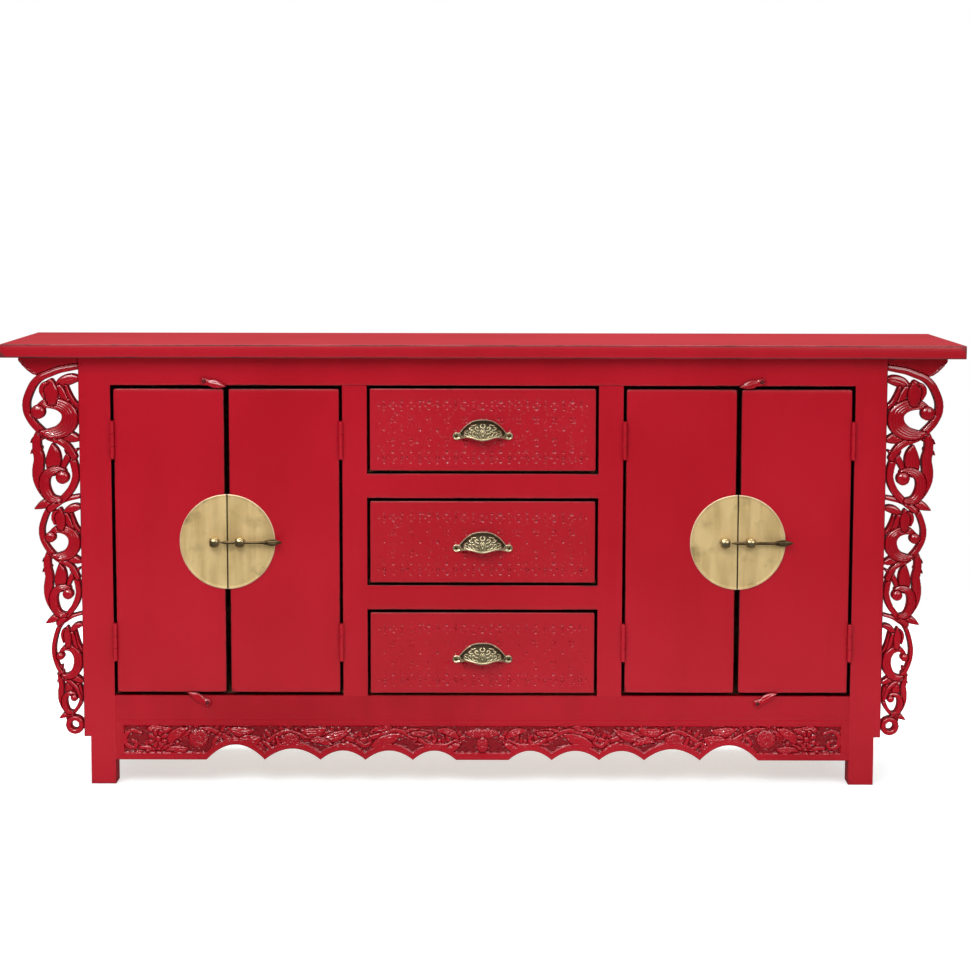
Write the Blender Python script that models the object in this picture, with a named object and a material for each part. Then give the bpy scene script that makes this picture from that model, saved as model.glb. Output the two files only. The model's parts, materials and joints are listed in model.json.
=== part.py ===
"""Red lacquered sideboard: four doors in two pairs, three carved drawers and open side brackets.

Units are metres and +Z is up. The origin is on the floor at the middle of the sideboard,
and the front faces -Y. Pieces that are glued or nailed together keep GAP between them.
"""

import math

import bmesh
import bpy
from mathutils import Matrix, Vector

# Overall sizes
TOP_WIDTH = 1.80
TOP_DEPTH = 0.40
TOP_THICK = 0.025
TOP_EDGE = 0.004
HEIGHT = 0.84
FRONT_OVERHANG = 0.025
BACK_OVERHANG = 0.010
END_OVERHANG = 0.142

# Carcass boards
PANEL_THICK = 0.0127
PANEL_FOOT = 0.092
LEG = 0.0467
FRAME_THICK = 0.025
TOP_RAIL = 0.0525
BOTTOM_RAIL = 0.046
APRON_TOP = 0.1257
APRON_FOOT = 0.047
STILE = 0.0459
DRAWER_RAIL = 0.0465
BOTTOM_BOARD = 0.015
DECK = 0.012
PARTITION = 0.015
BACK_BOARD = 0.008
BACK_INSET = 0.010
BACK_SKIRT = 0.030

# Drawers
DRAWER_COUNT = 3
DRAWER_BAY = 0.4356
DRAWER_FRONT_THICK = 0.020
DRAWER_GAP = 0.0058
DRAWER_WALL = 0.010
DRAWER_FLOOR = 0.006
DRAWER_DEPTH = 0.285
DRAWER_HEADROOM = 0.014

# Doors and their hinges
DOOR_THICK = 0.020
DOOR_GAP = 0.0065
MEETING_GAP = 0.009
HINGE_GAP = 0.006
HINGE_LENGTH = 0.072
HINGE_INSET = 0.0605
HINGE_AXIS_PROUD = 0.0038
KNUCKLE_R = 0.00425
HINGE_PIN_R = 0.0017
HINGE_BORE_R = 0.0020
LEAF_THICK = 0.0015
LEAF_DEPTH = 0.017

# Moon plates, their eyes and the lock pins
PLATE_R = 0.090
PLATE_THICK = 0.0025
PLATE_SPLIT = 0.0016
EYE_OFFSET = 0.024
EYE_R = 0.009
EYE_STANDOFF = 0.0095
EYE_STEM_R = 0.0050
EYE_BORE_R = 0.0037
PIN_R = 0.0030
PIN_TIP = 0.049
PIN_TAIL = 0.068
PIN_LEAF = 0.036
PIN_LEAF_WIDE = 0.013
PIN_LEAF_THICK = 0.003
PIN_CLEAR = 0.002

# Turn buttons
BUTTON_LENGTH = 0.051
BUTTON_HEAD_R = 0.0078
BUTTON_BELLY = 0.0082
BUTTON_THICK = 0.006
BUTTON_NAIL_R = 0.0016
BUTTON_ABOVE_DOORS = 0.0078
BUTTON_BELOW_DOORS = 0.0138
BUTTON_OFF_CENTRE = 0.041
BUTTON_ANGLES = {"upper_left": -13, "upper_right": 193, "lower_left": 151, "lower_right": 29}

# Cup pulls
PULL_WIDTH = 0.113
PULL_CUP = 0.086
PULL_HEIGHT = 0.039
PULL_DEPTH = 0.021
PULL_WALL = 0.0022
PULL_EAR = 0.016
PULL_EAR_RISE = 0.0089
PULL_EAR_THICK = 0.002
PULL_HOLE_R = 0.0017

# Side brackets
WING_WIDTH = 0.111
WING_THICK = 0.022
WING_SETBACK = 0.002
WING_ABOVE_PANEL_FOOT = 0.0036

# Clearances
GAP = 0.0003
RUN = 0.0005

# Where the boards meet
SIDE = TOP_WIDTH / 2 - END_OVERHANG
LEG_OUT = SIDE - PANEL_THICK
LEG_IN = LEG_OUT - LEG
FACE = -TOP_DEPTH / 2 + FRONT_OVERHANG
BACK = TOP_DEPTH / 2 - BACK_OVERHANG
UNDER_TOP = HEIGHT - TOP_THICK
OPEN_TOP = UNDER_TOP - TOP_RAIL
OPEN_FOOT = APRON_TOP + BOTTOM_RAIL
BAY = DRAWER_BAY / 2
DOOR_IN = BAY + STILE
MEETING = (DOOR_IN + LEG_IN) / 2
DRAWER_OPENING = (OPEN_TOP - OPEN_FOOT - (DRAWER_COUNT - 1) * DRAWER_RAIL) / DRAWER_COUNT
INSIDE_FRONT = FACE + FRAME_THICK + GAP
INSIDE_BACK = BACK - BACK_INSET - BACK_BOARD - GAP
DOOR_MIDDLE = (OPEN_TOP + OPEN_FOOT) / 2
PLATE_FRONT = FACE - GAP - PLATE_THICK
EYE_Y = PLATE_FRONT - EYE_STANDOFF
PIN_DRAWN = PIN_TIP - (EYE_OFFSET - EYE_R) + PIN_CLEAR

# The scalloped edge of the apron, from the middle outwards: where each arch ends, and its rise
SCALLOPS = [(0.1323, 0.018), (0.2227, 0.018), (0.3084, 0.018), (0.4147, 0.0215), (0.5256, 0.0294)]
SCALLOP_START = 0.050

# A bracket's outer edge, as shares of its width and of its length from the top. A run of
# three is a curve from the first through the second to the third; a single one is a corner.
WING_EDGE = [
    [(1.0, 0.0)],
    [(1.0, 0.02), (0.84, 0.035), (0.74, 0.052)],
    [(0.80, 0.07), (0.96, 0.128), (0.79, 0.196)],
    [(0.83, 0.21)],
    [(0.82, 0.236), (0.81, 0.307), (0.71, 0.372)],
    [(0.79, 0.393)],
    [(0.78, 0.405), (0.72, 0.452), (0.54, 0.521)],
    [(0.65, 0.550)],
    [(0.62, 0.600), (0.65, 0.638), (0.53, 0.678)],
    [(0.60, 0.708)],
    [(0.59, 0.720), (0.54, 0.785), (0.45, 0.841)],
    [(0.486, 0.850)],
    [(0.47, 0.865), (0.446, 0.905), (0.374, 0.941)],
    [(0.410, 0.965)],
    [(0.36, 0.985), (0.225, 1.0), (0.10, 0.985)],
]
# The openings inside the bracket's scrolls: middle, as above, and half width and half height
WING_HOLES = [
    (0.46, 0.140, 0.014, 0.026),
    (0.40, 0.300, 0.012, 0.026),
    (0.36, 0.455, 0.010, 0.022),
    (0.30, 0.635, 0.009, 0.018),
    (0.26, 0.780, 0.008, 0.016),
    (0.22, 0.905, 0.006, 0.012),
]

FINISHES = {
    "red_lacquer": ((0.42, 0.012, 0.020), 0.35, 0.0),
    "carved_lacquer": ((0.38, 0.011, 0.018), 0.45, 0.0),
    "painted_steel": ((0.38, 0.012, 0.018), 0.40, 0.0),
    "plate_brass": ((0.62, 0.44, 0.18), 0.38, 1.0),
    "old_brass": ((0.22, 0.15, 0.07), 0.42, 1.0),
    "plain_wood": ((0.40, 0.24, 0.12), 0.70, 0.0),
}


def clear_scene():
    """Remove every object that the scene starts with."""
    for thing in list(bpy.data.objects):
        bpy.data.objects.remove(thing, do_unlink=True)


def material(finish):
    """The named finish as a Principled material, made once."""
    found = bpy.data.materials.get(finish)
    if found:
        return found
    colour, roughness, metallic = FINISHES[finish]
    made = bpy.data.materials.new(finish)
    made.use_nodes = True
    shader = made.node_tree.nodes["Principled BSDF"]
    shader.inputs["Base Color"].default_value = (*colour, 1.0)
    shader.inputs["Roughness"].default_value = roughness
    shader.inputs["Metallic"].default_value = metallic
    return made


def add_object(name, bm, finish=None, smooth=False):
    """Put a bmesh into the scene as an object with its own mesh."""
    bmesh.ops.recalc_face_normals(bm, faces=bm.faces)
    mesh = bpy.data.meshes.new(name)
    bm.to_mesh(mesh)
    bm.free()
    thing = bpy.data.objects.new(name, mesh)
    bpy.context.collection.objects.link(thing)
    if finish:
        mesh.materials.append(material(finish))
    if smooth:
        mesh.shade_smooth()
        mesh.set_sharp_from_angle(angle=math.radians(35))
    return thing


def add_box(bm, low, high):
    """Add a box between two corners."""
    size = Vector(high) - Vector(low)
    middle = (Vector(high) + Vector(low)) / 2
    place = Matrix.Translation(middle) @ Matrix.Diagonal((*size, 1.0))
    bmesh.ops.create_cube(bm, size=1.0, matrix=place)


def add_prism(bm, outline, start, end, axis):
    """Extrude a flat outline between two heights along axis 'Y' (outline in X, Z) or 'Z' (in X, Y)."""

    def place(point, height):
        if axis == "Y":
            return (point[0], height, point[1])
        return (point[0], point[1], height)

    near = [bm.verts.new(place(p, start)) for p in outline]
    far = [bm.verts.new(place(p, end)) for p in outline]
    bm.faces.new(near)
    bm.faces.new(list(reversed(far)))
    for i in range(len(outline)):
        k = (i + 1) % len(outline)
        bm.faces.new((near[i], far[i], far[k], near[k]))


def add_rod(bm, start, end, radius, sides=16, end_radius=None):
    """Add a round bar, or a cone if it ends at another radius."""
    start, end = Vector(start), Vector(end)
    along = end - start
    turn = along.to_track_quat("Z", "Y").to_matrix().to_4x4()
    place = Matrix.Translation((start + end) / 2) @ turn
    far = radius if end_radius is None else end_radius
    bmesh.ops.create_cone(
        bm, cap_ends=True, segments=sides, radius1=radius, radius2=far, depth=along.length, matrix=place
    )


def combine(base, other, operation):
    """Join another solid to a base or cut it away, and keep it only as a guide."""
    step = base.modifiers.new(operation.lower(), "BOOLEAN")
    step.operation = operation
    step.solver = "EXACT"
    step.object = other
    other.hide_render = True
    other.display_type = "WIRE"


def soften(thing, width):
    """Take the sharpness off a board's edges."""
    edge = thing.modifiers.new("softened edges", "BEVEL")
    edge.width = width
    edge.segments = 1
    edge.limit_method = "ANGLE"
    return thing


def board(name, low, high, finish="red_lacquer", edge=0.0012):
    """A plain board between two corners."""
    bm = bmesh.new()
    add_box(bm, low, high)
    return soften(add_object(name, bm, finish), edge)


def curve_through(first, middle, last, steps=5):
    """Points along the parabola from first through middle to last, without the last."""
    pull = [2 * m - (a + b) / 2 for a, m, b in zip(first, middle, last)]
    points = []
    for i in range(steps):
        t = i / steps
        points.append(
            tuple((1 - t) ** 2 * a + 2 * t * (1 - t) * p + t**2 * b for a, p, b in zip(first, pull, last))
        )
    return points


def pivot(name, place):
    """An empty on a joint's axis, which carries the pieces that move about it."""
    axis = bpy.data.objects.new(name, None)
    axis.location = place
    bpy.context.collection.objects.link(axis)
    return axis


def carry(axis, *things):
    """Hang pieces on a pivot without moving them."""
    for thing in things:
        thing.parent = axis
        thing.matrix_parent_inverse = Matrix.Translation(axis.location).inverted()


def make_carcass():
    """The top, sides, legs, rails and the boards inside."""
    half_wide, half_deep = TOP_WIDTH / 2, TOP_DEPTH / 2
    board("top_board", (-half_wide, -half_deep, UNDER_TOP), (half_wide, half_deep, HEIGHT), edge=TOP_EDGE)
    for side, sign in (("left", -1), ("right", 1)):
        make_side(side, sign)
    board(
        "top_rail",
        (-LEG_IN + GAP, FACE, OPEN_TOP),
        (LEG_IN - GAP, FACE + FRAME_THICK, UNDER_TOP - GAP),
    )
    for i in range(1, DRAWER_COUNT):
        foot = drawer_foot(i) - DRAWER_RAIL
        name = f"{drawer_name(i - 1)}_drawer_rail"
        low = (-BAY + GAP, FACE, foot)
        board(name, low, (BAY - GAP, FACE + FRAME_THICK, foot + DRAWER_RAIL))
        deck_low = (-BAY + GAP, INSIDE_FRONT, foot + DRAWER_RAIL - DECK)
        deck_high = (BAY - GAP, INSIDE_BACK, foot + DRAWER_RAIL)
        board(f"{drawer_name(i - 1)}_drawer_deck", deck_low, deck_high, "plain_wood")
    back_low = (-LEG_IN + GAP, BACK - BACK_INSET - BACK_BOARD, OPEN_FOOT - BACK_SKIRT)
    board("back_panel", back_low, (LEG_IN - GAP, BACK - BACK_INSET, UNDER_TOP - GAP), "plain_wood")
    make_bottom_board()
    make_apron()


def make_side(side, sign):
    """One end of the carcass: its panel, two legs, inner stile and partition."""

    def across(name, near, far, y, z, finish="red_lacquer"):
        low, high = sorted((sign * near, sign * far))
        board(name, (low, y[0], z[0]), (high, y[1], z[1]), finish)

    full = (0.0, UNDER_TOP - GAP)
    across(f"{side}_side_panel", LEG_OUT + GAP, SIDE, (FACE, BACK), (PANEL_FOOT, UNDER_TOP - GAP))
    across(f"front_{side}_leg", LEG_IN, LEG_OUT, (FACE, FACE + LEG), full)
    across(f"back_{side}_leg", LEG_IN, LEG_OUT, (BACK - LEG, BACK), full)
    stile = (OPEN_FOOT + GAP, OPEN_TOP - GAP)
    across(f"{side}_inner_stile", BAY, DOOR_IN, (FACE, FACE + FRAME_THICK), stile)
    inside = (INSIDE_FRONT, INSIDE_BACK)
    walls = (OPEN_FOOT + GAP, UNDER_TOP - GAP)
    across(f"{side}_partition", BAY, BAY + PARTITION, inside, walls, "plain_wood")


def make_bottom_board():
    """The cupboards' floor, notched round the four legs."""
    out, leg = LEG_OUT - GAP, LEG_IN - GAP
    front, front_leg = INSIDE_FRONT, FACE + LEG + GAP
    back, back_leg = INSIDE_BACK, BACK - LEG - GAP
    right = [(leg, front), (leg, front_leg), (out, front_leg), (out, back_leg), (leg, back_leg), (leg, back)]
    left = [(-x, y) for x, y in reversed(right)]
    bm = bmesh.new()
    add_prism(bm, right + left, OPEN_FOOT - BOTTOM_BOARD, OPEN_FOOT, "Z")
    add_object("bottom_board", bm, "plain_wood")


def make_apron():
    """The bottom rail and the scalloped apron below it, cut from one board."""
    end = LEG_IN - GAP
    edge = [(SCALLOP_START, APRON_FOOT)]
    start = SCALLOP_START
    for stop, rise in SCALLOPS:
        middle = ((start + stop) / 2, APRON_FOOT + rise)
        edge += curve_through((start, APRON_FOOT), middle, (stop, APRON_FOOT))[1:]
        edge.append((stop, APRON_FOOT))
        start = stop
    right = edge + [(end, APRON_FOOT), (end, OPEN_FOOT - GAP)]
    left = [(-x, z) for x, z in reversed(right)]
    bm = bmesh.new()
    add_prism(bm, right + left, FACE, FACE + FRAME_THICK, "Y")
    add_object("carved_apron", bm, "carved_lacquer")


def make_wing(side, sign):
    """One openwork bracket that tapers down from the top board."""
    top = UNDER_TOP - GAP
    length = top - (PANEL_FOOT + WING_ABOVE_PANEL_FOOT)
    inner = SIDE + GAP

    def place(share):
        return (sign * (inner + share[0] * (WING_WIDTH - GAP)), top - share[1] * length)

    outline = [place((0.0, 0.0))]
    for run in WING_EDGE:
        points = [place(share) for share in run]
        if len(points) == 1:
            outline += points
        else:
            outline += curve_through(*points)
            outline.append(points[2])
    outline.append(place((0.0, 0.985)))
    front = FACE + WING_SETBACK
    bm = bmesh.new()
    add_prism(bm, outline, front, front + WING_THICK, "Y")
    wing = add_object(f"{side}_wing_bracket", bm, "carved_lacquer")
    cutters = bmesh.new()
    for across, down, half_wide, half_high in WING_HOLES:
        x, z = place((across, down))
        turns = [2 * math.pi * i / 12 for i in range(12)]
        oval = [(x + half_wide * math.cos(t), z + half_high * math.sin(t)) for t in turns]
        add_prism(cutters, oval, front - RUN, front + WING_THICK + RUN, "Y")
    combine(wing, add_object(f"{side}_wing_cutter", cutters), "DIFFERENCE")


def drawer_name(index):
    """The drawers' names, from the top down."""
    return ("upper", "middle", "lower")[index]


def drawer_foot(from_below):
    """Where the opening starts, counted from the lowest drawer at 0."""
    return OPEN_FOOT + from_below * (DRAWER_OPENING + DRAWER_RAIL)


def make_drawer(index):
    """One drawer: its front, its open box and its cup pull."""
    name = drawer_name(index)
    foot = drawer_foot(DRAWER_COUNT - 1 - index)
    top = foot + DRAWER_OPENING
    half = BAY - DRAWER_GAP
    front_back = FACE + DRAWER_FRONT_THICK
    low = (-half, FACE, foot + DRAWER_GAP)
    front = board(f"{name}_drawer_front", low, (half, front_back, top - DRAWER_GAP), "carved_lacquer")
    box_half = half - 2 * RUN
    box_front = front_back + GAP
    box = make_tray(
        f"{name}_drawer_box",
        (-box_half, box_front, foot + RUN),
        (box_half, box_front + DRAWER_DEPTH, top - DRAWER_HEADROOM),
    )
    pull = make_pull(f"{name}_cup_pull", (foot + top) / 2)
    carry(pivot(f"{name}_drawer_axis", (0, FACE, (foot + top) / 2)), front, box, pull)


def make_tray(name, low, high):
    """An open box with four walls and a floor."""
    bm = bmesh.new()
    inner_low = (low[0] + DRAWER_WALL, low[1] + DRAWER_WALL, low[2] + DRAWER_FLOOR)
    inner_high = (high[0] - DRAWER_WALL, high[1] - DRAWER_WALL, high[2])

    def ring(a, b, z):
        corners = ((a[0], a[1]), (b[0], a[1]), (b[0], b[1]), (a[0], b[1]))
        return [bm.verts.new((x, y, z)) for x, y in corners]

    rings = [
        ring(low, high, low[2]),
        ring(low, high, high[2]),
        ring(inner_low, inner_high, high[2]),
        ring(inner_low, inner_high, inner_low[2]),
    ]
    bm.faces.new(rings[0])
    bm.faces.new(rings[3])
    for below, above in zip(rings, rings[1:]):
        for i in range(4):
            k = (i + 1) % 4
            bm.faces.new((below[i], below[k], above[k], above[i]))
    return add_object(name, bm, "plain_wood")


def quarter_dome(bm, centre, half_wide, depth, height, around=14, up=6):
    """Add the solid between a wall plane, a floor plane and a dome that stands out towards -Y."""
    x, y, z = centre
    corner = []
    for j in range(up + 1):
        rise = math.pi / 2 * j / up
        row = []
        for i in range(around + 1):
            turn = math.pi * i / around
            reach = math.cos(rise)
            across = x - half_wide * math.cos(turn) * reach
            row.append((across, y - depth * math.sin(turn) * reach, z + height * math.sin(rise)))
        corner.append(row)
    verts = [[bm.verts.new(p) for p in row] for row in corner[:-1]]
    crown = bm.verts.new(corner[-1][0])
    for lower, upper in zip(verts, verts[1:]):
        for i in range(around):
            bm.faces.new((lower[i], lower[i + 1], upper[i + 1], upper[i]))
    for i in range(around):
        bm.faces.new((verts[-1][i], verts[-1][i + 1], crown))
    bm.faces.new(list(reversed(verts[0])))
    bm.faces.new([row[0] for row in verts] + [crown] + [row[-1] for row in reversed(verts)])


def make_pull(name, middle):
    """A cup pull: a hollow dome, open below, with a flat ear at each end."""
    foot = middle - PULL_HEIGHT / 2
    wall_y = FACE - GAP
    bm = bmesh.new()
    quarter_dome(bm, (0, wall_y, foot), PULL_CUP / 2, PULL_DEPTH, PULL_HEIGHT)
    pull = add_object(name, bm, "old_brass", smooth=True)
    ears = bmesh.new()
    reach = PULL_WIDTH / 2
    ear_z = foot + PULL_EAR_RISE
    ear = [(reach, ear_z - PULL_EAR / 4), (reach, ear_z + PULL_EAR / 4)]
    ear.append((reach - PULL_EAR / 2, ear_z + PULL_EAR / 2))
    ear += [(-x, z) for x, z in reversed(ear)]
    ear += [(-reach + PULL_EAR / 2, ear_z - PULL_EAR / 2), (reach - PULL_EAR / 2, ear_z - PULL_EAR / 2)]
    add_prism(ears, ear, wall_y - PULL_EAR_THICK, wall_y, "Y")
    combine(pull, add_object(f"{name}_ears", ears), "UNION")
    hollow = bmesh.new()
    centre = (0, wall_y + PULL_WALL, foot - PULL_WALL)
    quarter_dome(hollow, centre, PULL_CUP / 2 - PULL_WALL, PULL_DEPTH, PULL_HEIGHT)
    for sign in (-1, 1):
        x = sign * (reach - PULL_EAR / 2)
        add_rod(hollow, (x, wall_y - PULL_DEPTH, ear_z), (x, wall_y + PULL_DEPTH, ear_z), PULL_HOLE_R, 8)
    combine(pull, add_object(f"{name}_hollow", hollow), "DIFFERENCE")
    return pull


def make_hinge(name, axis_x, frame_side, middle):
    """A butt hinge in the gap: the frame leaf holds the pin and two knuckles, the door leaf one."""
    axis_y = FACE - HINGE_AXIS_PROUD
    foot = middle - HINGE_LENGTH / 2
    third = HINGE_LENGTH / 3
    leaf_start = axis_y + KNUCKLE_R + RUN
    spans = [(foot + i * third + RUN / 2, foot + (i + 1) * third - RUN / 2) for i in range(3)]

    def leaf(leaf_name, sign, knuckles):
        near = HINGE_GAP / 2 - GAP - LEAF_THICK
        x = sorted((axis_x + sign * near, axis_x + sign * (near + LEAF_THICK)))
        plate = bmesh.new()
        add_box(plate, (x[0], leaf_start, foot), (x[1], leaf_start + LEAF_DEPTH, foot + HINGE_LENGTH))
        made = add_object(leaf_name, plate, "painted_steel", smooth=True)
        tabs = bmesh.new()
        tab_x = [x[0] + LEAF_THICK / 10, x[1] - LEAF_THICK / 10]
        for low, high in knuckles:
            add_box(tabs, (tab_x[0], axis_y + 2 * RUN, low + RUN), (tab_x[1], leaf_start + RUN, high - RUN))
        combine(made, add_object(f"{leaf_name}_tabs", tabs), "UNION")
        barrels = bmesh.new()
        for low, high in knuckles:
            add_rod(barrels, (axis_x, axis_y, low), (axis_x, axis_y, high), KNUCKLE_R)
        combine(made, add_object(f"{leaf_name}_barrels", barrels), "UNION")
        return made

    frame = leaf(f"{name}_frame_leaf", frame_side, [spans[0], spans[2]])
    pin = bmesh.new()
    add_rod(pin, (axis_x, axis_y, spans[0][1] - RUN), (axis_x, axis_y, spans[2][0] + RUN), HINGE_PIN_R, 12)
    combine(frame, add_object(f"{name}_pin", pin), "UNION")
    door = leaf(f"{name}_door_leaf", -frame_side, [spans[1]])
    bore = bmesh.new()
    ends = (foot, foot + HINGE_LENGTH)
    add_rod(bore, (axis_x, axis_y, ends[0]), (axis_x, axis_y, ends[1]), HINGE_BORE_R, 12)
    combine(door, add_object(f"{name}_bore", bore), "DIFFERENCE")
    return door


def make_plate(name, meeting_x, sign):
    """Half of a round moon plate, with the eye that the lock pin goes through."""
    cut = PLATE_SPLIT / 2
    spread = math.acos(cut / PLATE_R)
    turns = [-spread + 2 * spread * i / 32 for i in range(33)]
    half_round = [(PLATE_R * math.cos(t), PLATE_R * math.sin(t)) for t in turns]
    outline = [(meeting_x + sign * across, DOOR_MIDDLE + up) for across, up in half_round]
    bm = bmesh.new()
    add_prism(bm, outline, PLATE_FRONT, PLATE_FRONT + PLATE_THICK, "Y")
    plate = add_object(name, bm, "plate_brass", smooth=True)
    eye_x = meeting_x + sign * EYE_OFFSET
    stem = bmesh.new()
    root = (eye_x, PLATE_FRONT + PLATE_THICK / 2, DOOR_MIDDLE)
    add_rod(stem, (eye_x, EYE_Y, DOOR_MIDDLE), root, EYE_STEM_R, 12)
    combine(plate, add_object(f"{name}_stem", stem), "UNION")
    ball = bmesh.new()
    place = Matrix.Translation((eye_x, EYE_Y, DOOR_MIDDLE))
    bmesh.ops.create_uvsphere(ball, u_segments=16, v_segments=10, radius=EYE_R, matrix=place)
    combine(plate, add_object(f"{name}_ball", ball), "UNION")
    bore = bmesh.new()
    ends = [(eye_x - 2 * EYE_R, EYE_Y, DOOR_MIDDLE), (eye_x + 2 * EYE_R, EYE_Y, DOOR_MIDDLE)]
    add_rod(bore, ends[0], ends[1], EYE_BORE_R, 12)
    combine(plate, add_object(f"{name}_bore", bore), "DIFFERENCE")
    return plate


def make_lock_pin(name, meeting_x):
    """The pin that slides through both eyes, drawn back to the right until the left eye is free."""
    tip = meeting_x - PIN_TIP + PIN_DRAWN
    tail = meeting_x + PIN_TAIL + PIN_DRAWN
    leaf = tail - PIN_LEAF
    point = 3 * PIN_R
    bm = bmesh.new()
    add_rod(bm, (tip + point, EYE_Y, DOOR_MIDDLE), (leaf + point, EYE_Y, DOOR_MIDDLE), PIN_R, 12)
    pin = add_object(name, bm, "plate_brass", smooth=True)
    cone = bmesh.new()
    root = (tip + point + RUN, EYE_Y, DOOR_MIDDLE)
    add_rod(cone, root, (tip, EYE_Y, DOOR_MIDDLE), PIN_R * 0.97, 10, PIN_R / 4)
    combine(pin, add_object(f"{name}_tip", cone), "UNION")
    half = PIN_LEAF_WIDE / 2
    belly = leaf + PIN_LEAF * 0.45
    edge = curve_through((leaf, 0), (leaf + PIN_LEAF * 0.2, half * 0.75), (belly, half), 4)
    edge += curve_through((belly, half), (belly + PIN_LEAF * 0.3, half * 0.7), (tail, 0), 4)
    edge += [(tail, 0)] + [(x, -z) for x, z in reversed(edge[1:])]
    outline = [(x, DOOR_MIDDLE + z) for x, z in edge]
    blade = bmesh.new()
    add_prism(blade, outline, EYE_Y - PIN_LEAF_THICK / 2, EYE_Y + PIN_LEAF_THICK / 2, "Y")
    combine(pin, add_object(f"{name}_leaf", blade), "UNION")
    return pin


def make_door(name, hinge_x, meeting_x):
    """One door with its two hinges and its half of the moon plate. Returns its pivot."""
    inwards = 1 if meeting_x > hinge_x else -1
    hinge_edge = hinge_x + inwards * HINGE_GAP / 2
    meeting_edge = meeting_x - inwards * MEETING_GAP / 2
    low, high = sorted((hinge_edge, meeting_edge))
    corner = (low, FACE, OPEN_FOOT + DOOR_GAP)
    panel = board(f"{name}_door", corner, (high, FACE + DOOR_THICK, OPEN_TOP - DOOR_GAP), edge=0.002)
    plate = make_plate(f"{name}_moon_plate", meeting_x, -inwards)
    places = {
        "upper": OPEN_TOP - DOOR_GAP - HINGE_INSET - HINGE_LENGTH / 2,
        "lower": OPEN_FOOT + DOOR_GAP + HINGE_INSET + HINGE_LENGTH / 2,
    }
    leaves = [make_hinge(f"{name}_{k}_hinge", hinge_x, -inwards, z) for k, z in places.items()]
    axis = pivot(f"{name}_door_axis", (hinge_x, FACE - HINGE_AXIS_PROUD, DOOR_MIDDLE))
    carry(axis, panel, plate, *leaves)
    return axis


def make_door_pair(side, sign):
    """An outer and an inner door that meet under one moon plate, and their lock pin."""
    meeting = sign * MEETING
    outer = make_door(f"{side}_outer", sign * (LEG_IN - HINGE_GAP / 2), meeting)
    inner = make_door(f"{side}_inner", sign * (DOOR_IN + HINGE_GAP / 2), meeting)
    pin = make_lock_pin(f"{side}_lock_pin", meeting)
    pin_axis = pivot(f"{side}_lock_pin_axis", (meeting, EYE_Y, DOOR_MIDDLE))
    carry(pin_axis, pin)
    carry(outer if sign > 0 else inner, pin_axis)


def make_button(place, x, z):
    """A leaf-shaped turn button on a nail through its round head."""
    turn = math.radians(BUTTON_ANGLES[place])
    reach = BUTTON_LENGTH - BUTTON_HEAD_R
    head = [(math.cos(a), math.sin(a)) for a in (math.radians(60 + 24 * i) for i in range(11))]
    outline = [(BUTTON_HEAD_R * c, BUTTON_HEAD_R * s) for c, s in head]
    waist = (BUTTON_HEAD_R, BUTTON_HEAD_R / 2)
    belly = (reach * 0.5, BUTTON_BELLY)
    upper = [waist] + curve_through(waist, (reach * 0.32, BUTTON_BELLY * 0.85), belly, 4)[1:]
    upper += curve_through(belly, (reach * 0.8, BUTTON_BELLY * 0.6), (reach, 0), 5)
    outline += [(a, -b) for a, b in upper] + [(reach, 0)] + list(reversed(upper))
    c, s = math.cos(turn), math.sin(turn)
    outline = [(x + a * c - b * s, z + a * s + b * c) for a, b in outline]
    bm = bmesh.new()
    add_prism(bm, outline, FACE - RUN - BUTTON_THICK, FACE - RUN, "Y")
    button = soften(add_object(f"{place}_turn_button", bm, "red_lacquer"), 0.0008)
    hole = bmesh.new()
    add_rod(hole, (x, FACE - 2 * BUTTON_THICK, z), (x, FACE + BUTTON_THICK, z), BUTTON_NAIL_R, 10)
    combine(button, add_object(f"{place}_nail_hole", hole), "DIFFERENCE")
    carry(pivot(f"{place}_turn_button_axis", (x, FACE, z)), button)


def main():
    """Build the whole sideboard."""
    clear_scene()
    make_carcass()
    for side, sign in (("left", -1), ("right", 1)):
        make_wing(side, sign)
        make_door_pair(side, sign)
        x = sign * (MEETING + BUTTON_OFF_CENTRE)
        make_button(f"upper_{side}", x, OPEN_TOP + BUTTON_ABOVE_DOORS)
        make_button(f"lower_{side}", x, OPEN_FOOT - BUTTON_BELOW_DOORS)
    for index in range(DRAWER_COUNT):
        make_drawer(index)


main()
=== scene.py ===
"""The looks of a red lacquered sideboard: carved wood, lacquer, brass and the studio around it."""

from __future__ import annotations

import json
import logging
import math
from dataclasses import dataclass, field
from enum import Enum

import bpy
import numpy as np
from mathutils import Matrix, Vector


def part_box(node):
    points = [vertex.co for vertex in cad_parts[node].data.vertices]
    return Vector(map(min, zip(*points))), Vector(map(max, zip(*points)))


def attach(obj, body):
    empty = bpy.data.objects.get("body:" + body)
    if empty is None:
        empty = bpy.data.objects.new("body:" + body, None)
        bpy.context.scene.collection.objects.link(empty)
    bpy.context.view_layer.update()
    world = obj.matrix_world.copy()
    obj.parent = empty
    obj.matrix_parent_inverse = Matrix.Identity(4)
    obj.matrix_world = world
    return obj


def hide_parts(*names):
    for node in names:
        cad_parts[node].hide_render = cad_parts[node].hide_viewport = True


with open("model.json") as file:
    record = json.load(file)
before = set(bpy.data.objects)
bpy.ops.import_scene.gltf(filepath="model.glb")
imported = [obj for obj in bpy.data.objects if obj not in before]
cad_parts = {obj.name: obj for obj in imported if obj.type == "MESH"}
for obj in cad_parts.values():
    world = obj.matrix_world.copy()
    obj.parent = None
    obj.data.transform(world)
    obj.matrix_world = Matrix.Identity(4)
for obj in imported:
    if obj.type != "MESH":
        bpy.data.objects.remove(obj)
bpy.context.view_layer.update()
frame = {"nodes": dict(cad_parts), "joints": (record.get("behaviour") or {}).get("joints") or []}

LOG = logging.getLogger("sideboard")
Colour = tuple[float, float, float]
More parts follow.
